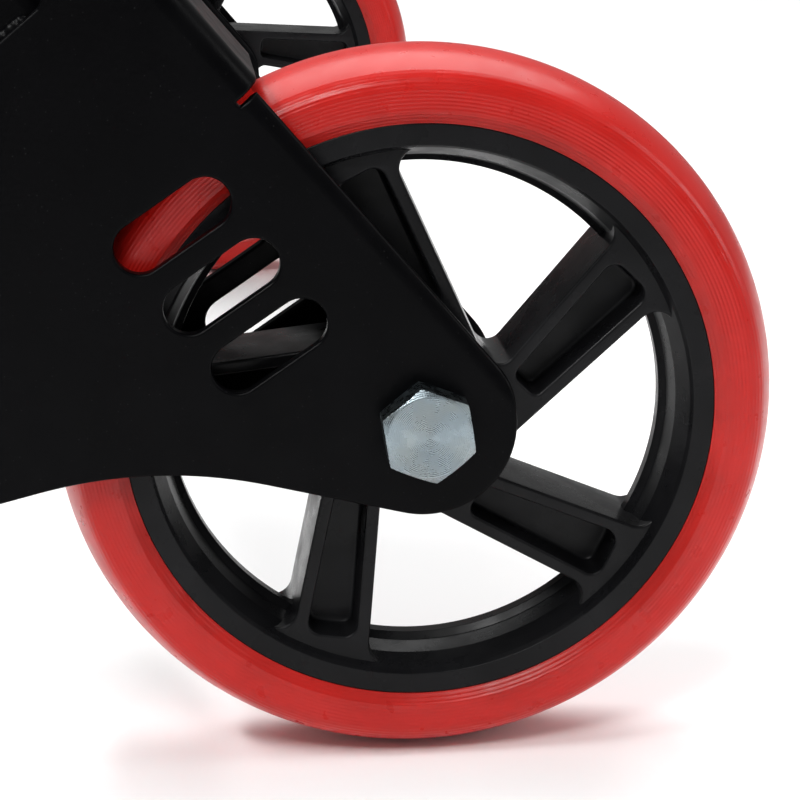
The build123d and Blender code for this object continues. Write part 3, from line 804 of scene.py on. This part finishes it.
@finish("floor_paint", Roughness=0.85)
def floor_paint(f):
    """Matt white studio floor."""
    base = tuple(settings("finish").floor)
    f.set("Base Color", f.mix(f.noise(2, 2), tuple(c * 0.995 for c in base), base))


# ------------------------------------------------------------------ wheel pieces
def tyre_profile():
    wheel = settings("wheel")
    half, edge = wheel.tyre_half_width, wheel.rim_edge
    centre = wheel.tyre_radius - wheel.crown_radius
    shoulder = centre + sqrt(wheel.crown_radius ** 2 - half ** 2)
    seat = wheel.rim_half_width - RIM_FLANGE
    low = [
        (edge, -seat), (edge, -wheel.rim_half_width), (edge + TYRE_TOE, -half), (shoulder, -half),
    ]
    reach = 3
    crown = [
        (centre + wheel.crown_radius * cos(a), wheel.crown_radius * sin(a))
        for a in (asin_share(half / wheel.crown_radius) * k / reach for k in range(-reach + 1, reach))
    ]
    high = [(r, -a) for r, a in reversed(low)]
    inner = [(wheel.rim_seat, seat - 0.001), (wheel.rim_seat, 0.001 - seat)]
    points = low + crown + high + inner
    radii = [0, 0.0002, 0.0012, 0.005] + [0.03] * len(crown) + [0.005, 0.0012, 0.0002, 0, 0, 0]
    return [tuple(p) for p in rounded(points, radii, 10)]


def asin_share(value):
    return atan2(value, sqrt(1 - value * value))


def window_loop(start, end, offset):
    """Opening between the spoke at angle start and the next one at angle end."""
    wheel = settings("wheel")
    outer_r = wheel.rim_inner
    inner_r = wheel.hub_radius
    outer_fillet, inner_fillet = WINDOW_FILLETS
    lean = atan2(wheel.spoke_rim_half - wheel.spoke_hub_half, wheel.spoke_end - wheel.spoke_start)
    base = wheel.spoke_hub_half - wheel.spoke_start * tan(lean)

    def corner(spoke, way, radius, fillet, inside):
        """Fillet centre and its two tangent angles for one corner."""
        direction = spoke + way * lean
        axis = Vector((cos(direction), sin(direction)))
        normal = Vector((-sin(direction), cos(direction))) * way
        origin = Vector((-sin(spoke), cos(spoke))) * (offset + way * base) + normal * fillet
        reach = radius - fillet if inside else radius + fillet
        along = origin.dot(axis)
        distance = -along + sqrt(along ** 2 - origin.length_squared + reach ** 2)
        centre = origin + axis * distance
        to_line = atan2(-normal.y, -normal.x)
        outward = atan2(centre.y, centre.x)
        return centre, to_line, outward if inside else outward + pi

    def turned(a, b, way):
        """Angle b brought next to a in the given direction of turning."""
        return a + way * ((way * (b - a)) % (2 * pi))

    path = []
    centre, line, ring = corner(start, 1, outer_r, outer_fillet, True)
    path += arc(centre, outer_fillet, line, turned(line, ring, 1), radians(12))
    a0 = atan2(centre.y, centre.x)
    centre, line, ring = corner(end, -1, outer_r, outer_fillet, True)
    a1 = turned(a0, atan2(centre.y, centre.x), 1)
    path += arc((0, 0), outer_r, a0, a1, radians(2.5))
    path += arc(centre, outer_fillet, ring, turned(ring, line, 1), radians(12))
    centre, line, ring = corner(end, -1, inner_r, inner_fillet, False)
    b0 = atan2(centre.y, centre.x)
    path += arc(centre, inner_fillet, line, turned(line, ring, 1), radians(12))
    centre, line, ring = corner(start, 1, inner_r, inner_fillet, False)
    b1 = turned(b0, atan2(centre.y, centre.x), -1)
    path += arc((0, 0), inner_r, b0, b1, radians(4))
    path += arc(centre, inner_fillet, ring, turned(ring, line, 1), radians(12))
    return tidy_loop(path, 2e-5)


def spoke_pocket(spoke, offset):
    """Recess on one face of a spoke, wider and rounder at the rim end."""
    wheel = settings("wheel")
    taper = (wheel.spoke_rim_half - wheel.spoke_hub_half) / (wheel.spoke_end - wheel.spoke_start)
    start, end = POCKET_SPAN
    near, far = (
        wheel.spoke_hub_half + taper * (s - wheel.spoke_start) - wheel.spoke_rib for s in (start, end)
    )
    points = [(start, offset - near), (end, offset - far), (end, offset + far), (start, offset + near)]
    axis = Vector((cos(spoke), sin(spoke)))
    side = Vector((-sin(spoke), cos(spoke)))
    path = rounded(points, [0.0018, 0.0026, 0.0026, 0.0018], 5)
    return [axis * p.x + side * p.y for p in path]


def rim_shells(spoke_angle, offset):
    wheel = settings("wheel")
    shells = Shells()
    turn = 2 * pi / wheel.spokes
    spokes = [spoke_angle + turn * k for k in range(wheel.spokes)]
    windows = [window_loop(a, a + turn, offset) for a in spokes]
    web = wheel.spoke_web_half
    pockets = [(spoke_pocket(a, offset), way * web) for a in spokes for way in (1, -1)]
    shells.add(
        plate(
            circle(wheel.rim_inner + 0.0022, steps=LATHE_STEPS),
            windows + [circle(0.0124)],
            -wheel.spoke_half_depth,
            wheel.spoke_half_depth,
            0.0006,
            pockets,
            draft=0.0004,
        )
    )
    half, seat = wheel.rim_half_width, wheel.rim_half_width - RIM_FLANGE
    crest = wheel.rim_crest
    band = [
        (crest, -0.0014),
        (crest, 0.0014),
        (crest + 0.0014, 0.0026),
        (crest + 0.0024, 0.0067),
        (crest + 0.0044, half - 0.001),
        (crest + 0.005, half),
        (wheel.rim_edge, half),
        (wheel.rim_edge, seat),
        (wheel.rim_seat, seat - 0.001),
    ]
    band_radii = [0.0003, 0.0003, 0.0004, 0.0008, 0.0003, 0.0003, 0.0003, 0, 0]
    band += [(r, -a) for r, a in reversed(band[2:])]
    band_radii += band_radii[:1:-1]
    shells.add(lathe(rounded(band, band_radii, 4)))
    bore, shoulder = 0.01302, 0.0115
    hub = wheel.hub_radius
    face = half - 0.008
    barrel = [
        (bore, half), (hub - 0.0006, half), (hub, 0.0005),
        (hub, -0.0005), (hub - 0.0006, -half), (bore, -half),
        (bore, -face), (shoulder, -face), (shoulder, face), (bore, face),
    ]
    barrel_radii = [0.0006, 0.0012, 0, 0, 0.0012, 0.0006, 0, 0.0003, 0.0003, 0]
    shells.add(lathe(rounded(barrel, barrel_radii, 4), 96))
    return shells


# ------------------------------------------------------------------ fork pieces
def cheek_path(stay):
    """Outline of one cheek in (x, z) about the axle, from the web's foot to its top."""
    fork = settings("fork")
    slope, nose = fork.belly_slope, fork.nose
    half_span = -stay / 2
    rise = half_span * sin(slope) + fork.belly_drop * cos(slope) - nose
    belly = rise / (1 - cos(slope))
    flat = fork.web_face - fork.bend
    start = fork.web_start
    along, across = rake_axes()
    path = [
        rake_point(start, flat),
        rake_point(start, flat - RELIEF_FLOOR),
        rake_point(start - fork.relief, flat - RELIEF_FLOOR),
        rake_point(start - fork.relief, nose),
    ]
    path = notch_rounded(path)
    edge_angle = atan2(across.y, across.x)
    path += arc((0, 0), nose, edge_angle, -pi / 2 - slope)
    belly_z = -fork.belly_drop - belly
    path += arc((-half_span, belly_z), belly, pi / 2 - slope, pi / 2 + slope, radians(1.5))
    path += arc((stay, 0), nose, -pi / 2 + slope, -pi)
    left = stay - nose
    corner = Vector((left, (fork.top - left * along.x) / along.y))
    lip_foot = rake_point(fork.top, TOP_KINK)
    lip_top = rake_point(fork.lip_top, flat)
    path += open_rounded([Vector((left, 0)), corner, lip_foot, lip_top], [0.010, 0.0008])
    return path


def notch_rounded(points):
    """The bend relief with a small radius in its inner corners."""
    first, last = points[0], points[-1]
    return [first] + open_rounded(points, [0.0002, 0.0004])[1:-1] + [last]


def open_rounded(points, radii):
    """Open path whose inner corners are rounded."""
    return rounded(points, [0] + list(radii) + [0], 8)


def fork_shell(side):
    """The whole sheet as a flat pattern with its cut-outs, then folded into a fork."""
    fork = settings("fork")
    stay = stay_offset(side)
    along, across = rake_axes()
    sheet, bend = fork.sheet, fork.bend
    neutral = bend - sheet / 2
    flat_half = fork.gap / 2 + sheet - bend
    arc_length = neutral * pi / 2
    flat_n = fork.web_face - bend
    edge_s = flat_half + arc_length

    def pattern(p, way):
        """(x, z) on a cheek to (s, t) on the flat pattern."""
        n, t = p.dot(across), p.dot(along)
        return Vector((way * (edge_s + flat_n - n), t))

    cheek = cheek_path(stay)
    outer = [pattern(p, 1) for p in cheek] + [pattern(p, -1) for p in reversed(cheek)]
    row = Vector((cos(fork.slot_row), sin(fork.slot_row)))
    middle = Vector((fork.slot_x, fork.slot_z))
    holes = [
        slot_loop(middle + row * (fork.slot_pitch * k), fork.slot_length, fork.slot_width, fork.slot_angle)
        for k in (-1, 0, 1)
    ]
    holes += [circle(AXLE_HOLE, steps=48), circle(STAY_HOLE, (stay, 0), 40)]
    cuts = [[pattern(p, way) for p in hole] for hole in holes for way in (1, -1)]
    verts, faces = plate(tidy_loop(outer), cuts, -sheet / 2, sheet / 2, fork.edge)

    bm = bmesh.new()
    made = [bm.verts.new(v) for v in verts]
    for face in faces:
        bm.faces.new([made[k] for k in face])
    strips = 10
    for way in (1, -1):
        for k in range(strips + 1):
            place = Vector((way * (flat_half + arc_length * k / strips), 0, 0))
            everything = bm.verts[:] + bm.edges[:] + bm.faces[:]
            bmesh.ops.bisect_plane(bm, geom=everything, plane_co=place, plane_no=(1, 0, 0), dist=1e-7)
    bm.verts.index_update()

    def folded(v):
        s, t, d = v
        way = 1 if s > 0 else -1
        if abs(s) <= flat_half:
            n, y = fork.web_face - sheet / 2 + d, s
        elif abs(s) < edge_s:
            turn = (abs(s) - flat_half) / neutral
            n = flat_n + (neutral + d) * cos(turn)
            y = way * (flat_half + (neutral + d) * sin(turn))
        else:
            n = flat_n - (abs(s) - edge_s)
            y = way * (flat_half + neutral + d)
        p = along * t + across * n
        return Vector((p.x, y, p.y))

    shell = ([folded(v.co) for v in bm.verts], [tuple(v.index for v in f.verts) for f in bm.faces])
    bm.free()
    return shell


# ------------------------------------------------------------------ fasteners
M10 = {"r": 0.005, "af": 0.017, "head": 0.0064, "nut": 0.010, "washer_r": 0.010, "pitch": 0.0015}
M8 = {"r": 0.004, "af": 0.013, "head": 0.0053, "nut": 0.008, "washer_r": 0.008, "pitch": 0.00125}
NUT_PLAIN = 0.78


def bolt_axes(node, side):
    """Axis points (x, z) from the axle and the Y span of each fastener in a CAD node."""
    mesh = frame["nodes"][node].data
    bm = bmesh.new()
    bm.from_mesh(mesh)
    bmesh.ops.remove_doubles(bm, verts=bm.verts, dist=1e-6)
    bm.verts.ensure_lookup_table()
    left = set(bm.verts)
    found = []
    while left:
        stack = [left.pop()]
        low, high = Vector(stack[0].co), Vector(stack[0].co)
        while stack:
            v = stack.pop()
            low = Vector(map(min, low, v.co))
            high = Vector(map(max, high, v.co))
            for e in v.link_edges:
                other = e.other_vert(v)
                if other in left:
                    left.remove(other)
                    stack.append(other)
        middle = (low + high) / 2 - axle_centre(side)
        found.append((Vector((middle.x, middle.z)), low.y, high.y))
    bm.free()
    return sorted(found, key=lambda item: (round(item[0].y, 4), item[1]))


def at_bolt(side, place):
    """World point on a bolt's axis at Y zero."""
    centre = axle_centre(side)
    return Vector((centre.x + place.x, 0, centre.z + place.y))


def along_y(origin_y, way):
    """Maps (x, z, height) to world axes, with height running along Y by way."""
    return lambda v: Vector((v[0], origin_y + way * v[2], v[1]))


def bolt_piece(name, node, side, size, head_low, spin, plain):
    """Bolts of one CAD node: head at the low or high Y end, shank and thread."""
    for k, (place, low, high) in enumerate(bolt_axes(node, side)):
        way = 1 if head_low else -1
        head_end = low if head_low else high
        seat = head_end + way * size["head"]
        tip = high if head_low else low
        shells = Shells()
        shells.add(hexagon(size["af"], size["head"], spin=spin), along_y(seat, -way))
        shank = screw_thread(size["r"], -0.001, abs(tip - seat), size["pitch"], plain)
        shells.add(shank, along_y(seat, way))
        piece = make_piece(
            f"{name}_{side}_{k + 1}", shells, at_bolt(side, place), zinc_plate(), "frame", (node,), 22
        )
        soften(piece, 0.00018)


def soften(piece, width):
    """Small rounding of the sharp edges, ahead of the evened normals."""
    bevel = piece.modifiers.new("Soft edges", "BEVEL")
    bevel.width = width
    bevel.segments = 2
    bevel.limit_method = "ANGLE"
    bevel.angle_limit = radians(28)
    bevel.harden_normals = False
    piece.modifiers.move(len(piece.modifiers) - 1, 0)


def nut_piece(name, node, side, size, seat_low, spin):
    """Lock nuts of one CAD node: chamfered hexagon, rolled collar and nylon ring."""
    for k, (place, low, high) in enumerate(bolt_axes(node, side)):
        way = 1 if seat_low else -1
        seat = low if seat_low else high
        plain = size["nut"] * NUT_PLAIN
        shells = Shells()
        shells.add(hexagon(size["af"], plain, size["r"] + 0.0001, (True, True), spin), along_y(seat, way))
        outer, ring_r = size["af"] / 2 - 0.0007, size["r"] + 0.0013
        collar = [
            (ring_r, plain - 0.001), (outer, plain - 0.001), (outer, size["nut"] - 0.0004),
            (ring_r + 0.0006, size["nut"]), (ring_r, size["nut"] - 0.0003),
        ]
        shells.add(lathe(rounded(collar, [0, 0, 0.0014, 0.0003, 0.0001], 5), 64), along_y(seat, way))
        origin = at_bolt(side, place)
        piece = make_piece(
            f"{name}_{side}_{k + 1}", shells, origin, zinc_plate(), "frame", (node,), 22
        )
        soften(piece, 0.00015)
        insert = Shells()
        ring = [
            (size["r"] - 0.0002, plain - 0.0006), (ring_r + 0.0002, plain - 0.0006),
            (ring_r + 0.0002, size["nut"] - 0.0006), (size["r"] - 0.0002, size["nut"] - 0.0006),
        ]
        insert.add(lathe(rounded(ring, 0.0002, 2), 64), along_y(seat, way))
        make_piece(f"{name}_ring_{side}_{k + 1}", insert, origin, lock_ring(), "frame", ())


def washer_piece(name, node, side, size):
    for k, (place, low, high) in enumerate(bolt_axes(node, side)):
        bore, rim = size["r"] + 0.0003, size["washer_r"]
        profile = [(bore, low), (rim, low), (rim, high), (bore, high)]
        shells = Shells().add(lathe(rounded(profile, 0.00025, 3), 80), along_y(0, 1))
        make_piece(
            f"{name}_{side}_{k + 1}", shells, at_bolt(side, place), zinc_plate(), "frame", (node,)
        )


def turned_piece(name, node, side, radius, bore, edge, finish):
    """Plain turned sleeves and collars of one CAD node, with softened ends."""
    for k, (place, low, high) in enumerate(bolt_axes(node, side)):
        profile = [(bore, low), (radius, low), (radius, high), (bore, high)]
        shells = Shells().add(lathe(rounded(profile, edge, 3), 80), along_y(0, 1))
        make_piece(f"{name}_{side}_{k + 1}", shells, at_bolt(side, place), finish, "frame", (node,))


# ------------------------------------------------------------------ tubes and plates
def leg_place(side, t):
    """Maps (across, Y, up the leg) to world axes, starting t up the leg."""
    along, across = rake_axes()
    centre = axle_centre(side)
    start = rake_point(t, -settings("tube").leg_depth / 2)

    def place(v):
        p = start + across * v[0] + along * v[2]
        return Vector((centre.x + p.x, centre.y + v[1], centre.z + p.y))

    return place


def leg_shells(side):
    tubes, fork = settings("tube"), settings("fork")
    outer = rectangle(tubes.leg_depth, fork.gap, tubes.corner, steps=8)
    inner_size = (tubes.leg_depth - 2 * tubes.leg_wall, fork.gap - 2 * tubes.leg_wall)
    inner = rectangle(*inner_size, tubes.corner - tubes.leg_wall, steps=5)
    tube = plate(outer, [inner], 0, tubes.leg_end - tubes.leg_start, 0.0003, steps=2)
    return Shells().add(tube, leg_place(side, tubes.leg_start))


def cap_shells(side):
    """Domed plug with a thin lip on the tube's end, and its hollow plug below."""
    tubes, fork = settings("tube"), settings("fork")
    place = leg_place(side, tubes.leg_end)
    shells = Shells()
    loop = rectangle(tubes.leg_depth, fork.gap, tubes.corner, steps=8)
    lid = plate(loop, [], 0, tubes.cap_rise, 0.0015, steps=5)
    shells.add(lid, place)
    raised = rectangle(tubes.leg_depth - 0.012, fork.gap - 0.012, 0.003, steps=6)
    shells.add(plate(raised, [], tubes.cap_rise - 0.001, tubes.cap_rise - 0.0001, 0.0003), place)
    width = tubes.leg_depth - 2 * tubes.leg_wall - 0.0004
    depth = fork.gap - 2 * tubes.leg_wall - 0.0004
    outer = rectangle(width, depth, 0.002, steps=4)
    hollow = rectangle(width - 0.004, depth - 0.004, 0.001, steps=4)
    shells.add(plate(outer, [hollow], -0.014, 0.0005, 0.0004, steps=2), place)
    return shells


def steady(up):
    """The same upward direction all along a straight bead."""
    return lambda p, tangent: up


def line_points(start, end, step=0.00035):
    count = max(8, ceil((end - start).length / step))
    return [start.lerp(end, k / count) for k in range(count + 1)]


# ------------------------------------------------------------------ operators
class CARRIAGE_OT_tyres(bpy.types.Operator):
    """Cast polyurethane tyres, left and right"""

    bl_idname = "carriage.tyres"
    bl_label = "Tyres"

    def execute(self, context):
        for side in SIDES:
            shells = Shells().add(lathe(tyre_profile(), 256), side_place(side))
            make_piece(
                f"tyre_cast_{side}", shells, axle_centre(side), polyurethane(), f"wheel_{side}",
                (f"tyre_{side}",), 40,
            )
        return {"FINISHED"}


class CARRIAGE_OT_rims(bpy.types.Operator):
    """Moulded five-spoke rims with recessed spokes"""

    bl_idname = "carriage.rims"
    bl_label = "Rims"

    def execute(self, context):
        wheel = settings("wheel")
        for side in SIDES:
            turn = getattr(wheel, f"spoke_angle_{side}")
            shells = Shells()
            made = rim_shells(turn, outboard(side) * wheel.spoke_offset)
            shells.add((made.verts, made.faces), side_place(side))
            make_piece(
                f"rim_moulding_{side}", shells, axle_centre(side), moulded_nylon(), f"wheel_{side}",
                tuple(f"rim_{part}_{side}" for part in ("band", "spokes", "hub")), 32,
            )
        return {"FINISHED"}


class CARRIAGE_OT_bearings(bpy.types.Operator):
    """Bearings, spacers and collars on the axles"""

    bl_idname = "carriage.bearings"
    bl_label = "Bearings"

    def execute(self, context):
        for side in SIDES:
            for node in ("bearing_outer_rings", "bearing_inner_rings", "bearing_balls"):
                refinish(f"{node}_{side}", bearing_steel())
            refinish(f"bearing_seals_{side}", seal_rubber())
            refinish(f"bearing_spacer_{side}", zinc_plate())
            turned_piece(
                "axle_collar", f"axle_collars_{side}", side, 0.0072, 0.00502, 0.0003, zinc_plate()
            )
        return {"FINISHED"}


class CARRIAGE_OT_forks(bpy.types.Operator):
    """Folded forks with slots and bend reliefs"""

    bl_idname = "carriage.forks"
    bl_label = "Forks"

    def execute(self, context):
        for side in SIDES:
            shells = Shells().add(fork_shell(side))
            make_piece(
                f"fork_sheet_{side}", shells, axle_centre(side), powder_coat(), "frame",
                (f"fork_{side}",), 40,
            )
        return {"FINISHED"}


class CARRIAGE_OT_legs(bpy.types.Operator):
    """Leg tubes and their plastic caps"""

    bl_idname = "carriage.legs"
    bl_label = "Legs"

    def execute(self, context):
        for side in SIDES:
            make_piece(
                f"leg_tube_{side}", leg_shells(side), Vector(), powder_coat(), "frame",
                (f"leg_{side}",), 35,
            )
            make_piece(
                f"leg_plug_{side}", cap_shells(side), Vector(), cap_plastic(), "frame",
                (f"leg_cap_{side}",), 35,
            )
        return {"FINISHED"}


class CARRIAGE_OT_cross_member(bpy.types.Operator):
    """Cross tube, its flanges and the mounting plate"""

    bl_idname = "carriage.cross_member"
    bl_label = "Cross member"

    def execute(self, context):
        tubes = settings("tube")
        low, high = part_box("cross_tube")
        size = high.x - low.x
        centre = (low + high) / 2
        outer = rectangle(size, size, tubes.corner, steps=8)
        bore = size - 2 * tubes.beam_wall
        inner = rectangle(bore, bore, tubes.corner - tubes.beam_wall, steps=5)
        tube = plate(outer, [inner], low.y, high.y, 0.0002, steps=2)
        shells = Shells().add(tube, lambda v: Vector((centre.x + v[0], v[2], centre.z + v[1])))
        make_piece(
            "cross_tube_body", shells, Vector(), powder_coat(), "frame", ("cross_tube",), 35
        )
        self.mounting_plate(tubes)
        for side in SIDES:
            self.flange(side, tubes)
        return {"FINISHED"}

    def mounting_plate(self, tubes):
        low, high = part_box("mounting_plate")
        mount = next(m for m in frame["record"]["mounts"] if m["name"] == "frame_plate")
        hole_r = mount["dims"]["hole_r_mm"] / 1000
        reach_y = mount["dims"]["spacing_x_mm"] / 2000
        reach_z = mount["dims"]["spacing_y_mm"] / 2000
        holes = [circle(hole_r, (a * reach_y, b * reach_z), 40) for a in (1, -1) for b in (1, -1)]
        outer = rectangle(high.y - low.y, high.z - low.z, tubes.plate_corner, steps=10)
        shells = Shells().add(
            plate(outer, holes, low.x, high.x, 0.0005), lambda v: Vector((v[2], v[0], v[1]))
        )
        make_piece(
            "mounting_plate_body", shells, Vector(), powder_coat(), "frame",
            ("mounting_plate",), 35,
        )

    def flange(self, side, tubes):
        node = f"cross_tube_flange_{side}"
        low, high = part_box(node)
        centre = axle_centre(side)
        along, across = rake_axes()
        middle = Vector(((low.x + high.x) / 2 - centre.x, (low.z + high.z) / 2 - centre.z))
        height = 2 * tubes.flange_half_length
        width = (high.x - low.x - (height - 2 * tubes.plate_corner) * abs(along.x) - 2 * tubes.plate_corner)
        width = width / abs(across.x) + 2 * tubes.plate_corner
        holes = [
            circle(STAY_HOLE, ((p - middle).dot(across), (p - middle).dot(along)), 36)
            for p, _, _ in bolt_axes(f"flange_bolts_{side}", side)
        ]
        outer = rectangle(width, height, tubes.plate_corner, steps=10)

        def place(v):
            p = middle + across * v[0] + along * v[1]
            return Vector((centre.x + p.x, v[2], centre.z + p.y))

        shells = Shells().add(plate(outer, holes, low.y, high.y, 0.0005), place)
        make_piece(
            f"flange_plate_{side}", shells, Vector(), powder_coat(), "frame", (node,), 35
        )


class CARRIAGE_OT_welds(bpy.types.Operator):
    """Weld beads at forks, flanges and mounting plate"""

    bl_idname = "carriage.welds"
    bl_label = "Welds"

    def execute(self, context):
        tubes, fork = settings("tube"), settings("fork")
        size = tubes.weld
        along = rake_axes()[0]
        low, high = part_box("cross_tube")
        for side in SIDES:
            centre = axle_centre(side)
            shells = Shells()
            for way in (1, -1):
                y = centre.y + way * fork.gap / 2
                ends = [rake_point(fork.top, n) for n in (-tubes.leg_depth + 0.003, -0.004)]
                start, end = (Vector((centre.x + p.x, y, centre.z + p.y)) for p in ends)
                up = Vector((along.x, way, along.y))
                shells.add(bead(line_points(start, end), size * 0.6, steady(up)))
            make_piece(
                f"fork_weld_{side}", shells, Vector(), powder_coat(), "frame",
                (f"fork_welds_{side}",), 60,
            )
            inward = -outboard(side)
            face = low.y if centre.y < 0 else high.y
            loop = rectangle(high.x - low.x, high.z - low.z, tubes.corner, steps=10)
            loop = [Vector(((low.x + high.x) / 2 + p.x, face, (low.z + high.z) / 2 + p.y)) for p in loop]
            ring = dense(loop)
            middle = Vector(((low.x + high.x) / 2, face, (low.z + high.z) / 2))

            def away(p, tangent):
                """Out from the cross tube's axis and along it, away from the flange."""
                outward = p - middle
                outward = (outward - tangent * outward.dot(tangent)).normalized()
                return outward + Vector((0, inward, 0))

            shells = Shells().add(bead(ring, size * 0.75, away, closed=True))
            make_piece(
                f"flange_weld_{side}", shells, Vector(), powder_coat(), "frame", (), 60
            )
        plate_low, plate_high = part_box("mounting_plate")
        shells = Shells()
        for way in (1, -1):
            z = (low.z + high.z) / 2 + way * (high.z - low.z) / 2
            inset = 0.004
            start = Vector((plate_high.x, plate_low.y + inset, z))
            end = Vector((plate_high.x, plate_high.y - inset, z))
            shells.add(bead(line_points(start, end), size * 0.9, steady(Vector((1, 0, way)))))
        make_piece("mounting_plate_weld", shells, Vector(), powder_coat(), "frame", (), 60)
        return {"FINISHED"}


def dense(loop, step=0.0004):
    """Closed loop with extra points on its long runs."""
    path = []
    for a, b in zip(loop, loop[1:] + loop[:1]):
        count = max(1, round((b - a).length / step))
        path += [a.lerp(b, k / count) for k in range(count)]
    return path


class CARRIAGE_OT_axle_fasteners(bpy.types.Operator):
    """Axle bolts, washers and lock nuts"""

    bl_idname = "carriage.axle_fasteners"
    bl_label = "Axle fasteners"

    def execute(self, context):
        for side in SIDES:
            left = outboard(side) < 0
            bolt_piece("axle_bolt", f"axle_bolt_{side}", side, M10, left, radians(39), 0.030)
            washer_piece("axle_washer", f"axle_washer_{side}", side, M10)
            nut_piece("axle_nut", f"axle_nut_{side}", side, M10, left, radians(25))
        return {"FINISHED"}


class CARRIAGE_OT_stay_fasteners(bpy.types.Operator):
    """Stay bolts with their sleeves, washers and lock nuts"""

    bl_idname = "carriage.stay_fasteners"
    bl_label = "Stay fasteners"

    def execute(self, context):
        for side in SIDES:
            left = outboard(side) < 0
            bolt_piece("stay_bolt", f"stay_bolt_{side}", side, M8, left, radians(28), 0.034)
            washer_piece("stay_washer", f"stay_washers_{side}", side, M8)
            nut_piece("stay_nut", f"stay_nut_{side}", side, M8, left, radians(11))
            turned_piece(
                "stay_tube", f"stay_sleeve_{side}", side, 0.008, STAY_HOLE, 0.0004, zinc_plate()
            )
        return {"FINISHED"}


class CARRIAGE_OT_flange_fasteners(bpy.types.Operator):
    """Flange bolts, washers and lock nuts"""

    bl_idname = "carriage.flange_fasteners"
    bl_label = "Flange fasteners"

    def execute(self, context):
        for side in SIDES:
            left = outboard(side) < 0
            bolt_piece("flange_bolt", f"flange_bolts_{side}", side, M8, not left, radians(19), 0.028)
            washer_piece("flange_washer", f"flange_washers_{side}", side, M8)
            nut_piece("flange_nut", f"flange_nuts_{side}", side, M8, not left, radians(33))
        return {"FINISHED"}


class CARRIAGE_OT_stage(bpy.types.Operator):
    """Camera, pale floor and soft studio light"""

    bl_idname = "carriage.stage"
    bl_label = "Stage"

    def execute(self, context):
        stage = settings("stage")
        centre = axle_centre("left")
        scene = context.scene
        camera = bpy.data.objects.new("camera", bpy.data.cameras.new("camera"))
        scene.collection.objects.link(camera)
        camera.data.lens = stage.lens
        camera.data.sensor_width = 36
        camera.data.clip_start = 0.01
        camera.location = centre + Vector((stage.camera_x, stage.camera_y, stage.camera_z))
        camera.rotation_euler = (pi / 2 - stage.camera_tilt, 0, -stage.camera_turn)
        scene.camera = camera

        half = stage.floor_size / 2
        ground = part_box("tyre_left")[0].z
        mesh = bpy.data.meshes.new("floor")
        corners = [(-half, -half), (half, -half), (half, half), (-half, half)]
        mesh.from_pydata([(x, y, ground) for x, y in corners], [], [(0, 1, 2, 3)])
        floor = bpy.data.objects.new("floor", mesh)
        scene.collection.objects.link(floor)
        floor.data.materials.append(floor_paint())

        world = bpy.data.worlds.new("studio")
        world.use_nodes = True
        back = world.node_tree.nodes["Background"]
        back.inputs["Color"].default_value = (1, 1, 1, 1)
        back.inputs["Strength"].default_value = 0.3
        scene.world = world
        scene.view_settings.view_transform = "Standard"

        middle = centre + Vector((0, -centre.y / 2, 0))
        overhead = middle + Vector((0.1, 0.8, 1.5))
        lamps = (
            ("key_light", centre + Vector((-0.35, -0.95, 1.15)), centre, 0.5, 0.4, 1.15, 60),
            ("top_light", overhead, middle + Vector((0, 0.35, 0)), 2.0, 1.2, 15, 120),
            ("side_light", centre + Vector((0.95, -0.15, 0.42)), centre, 0.25, 0.7, 0.5, 90),
            ("strip_light", centre + Vector((-0.7, -0.2, 0.85)), centre, 0.5, 0.05, 1.7, 90),
        )
        for lamp in lamps:
            self.softbox(*lamp)
        return {"FINISHED"}

    def softbox(self, name, place, target, width, height, power, spread):
        light = bpy.data.lights.new(name, "AREA")
        light.spread = radians(spread)
        light.shape = "RECTANGLE"
        light.size = width
        light.size_y = height
        light.energy = power
        lamp = bpy.data.objects.new(name, light)
        bpy.context.scene.collection.objects.link(lamp)
        lamp.location = place
        lamp.rotation_euler = (target - place).to_track_quat("-Z", "Y").to_euler()


class CARRIAGE_PT_panel(bpy.types.Panel):
    """Sizes, finishes and the buttons that build each piece"""

    bl_label = "Twin Wheel Carriage"
    bl_idname = "CARRIAGE_PT_panel"
    bl_space_type = "VIEW_3D"
    bl_region_type = "UI"
    bl_category = "Carriage"

    def draw(self, context):
        for operator in OPERATORS:
            self.layout.operator(operator.bl_idname)
        for part in GROUPS:
            box = self.layout.box()
            box.label(text=part.title())
            group = settings(part)
            for name in group.bl_rna.properties.keys():
                if name not in ("rna_type", "name"):
                    box.prop(group, name)


GROUPS = {
    "wheel": WheelSettings,
    "fork": ForkSettings,
    "tube": TubeSettings,
    "finish": FinishSettings,
    "stage": StageSettings,
}
OPERATORS = (
    CARRIAGE_OT_tyres,
    CARRIAGE_OT_rims,
    CARRIAGE_OT_bearings,
    CARRIAGE_OT_forks,
    CARRIAGE_OT_legs,
    CARRIAGE_OT_cross_member,
    CARRIAGE_OT_welds,
    CARRIAGE_OT_axle_fasteners,
    CARRIAGE_OT_stay_fasteners,
    CARRIAGE_OT_flange_fasteners,
    CARRIAGE_OT_stage,
)


def register():
    for part, group in GROUPS.items():
        bpy.utils.register_class(group)
        setattr(bpy.types.Scene, f"carriage_{part}", PointerProperty(type=group))
    for cls in (*OPERATORS, CARRIAGE_PT_panel):
        bpy.utils.register_class(cls)


def unregister():
    for cls in (CARRIAGE_PT_panel, *reversed(OPERATORS)):
        bpy.utils.unregister_class(cls)
    for part, group in reversed(GROUPS.items()):
        delattr(bpy.types.Scene, f"carriage_{part}")
        bpy.utils.unregister_class(group)


def main():
    register()
    for operator in OPERATORS:
        family, name = operator.bl_idname.split(".")
        getattr(getattr(bpy.ops, family), name)()


if __name__ == "__main__":
    main()
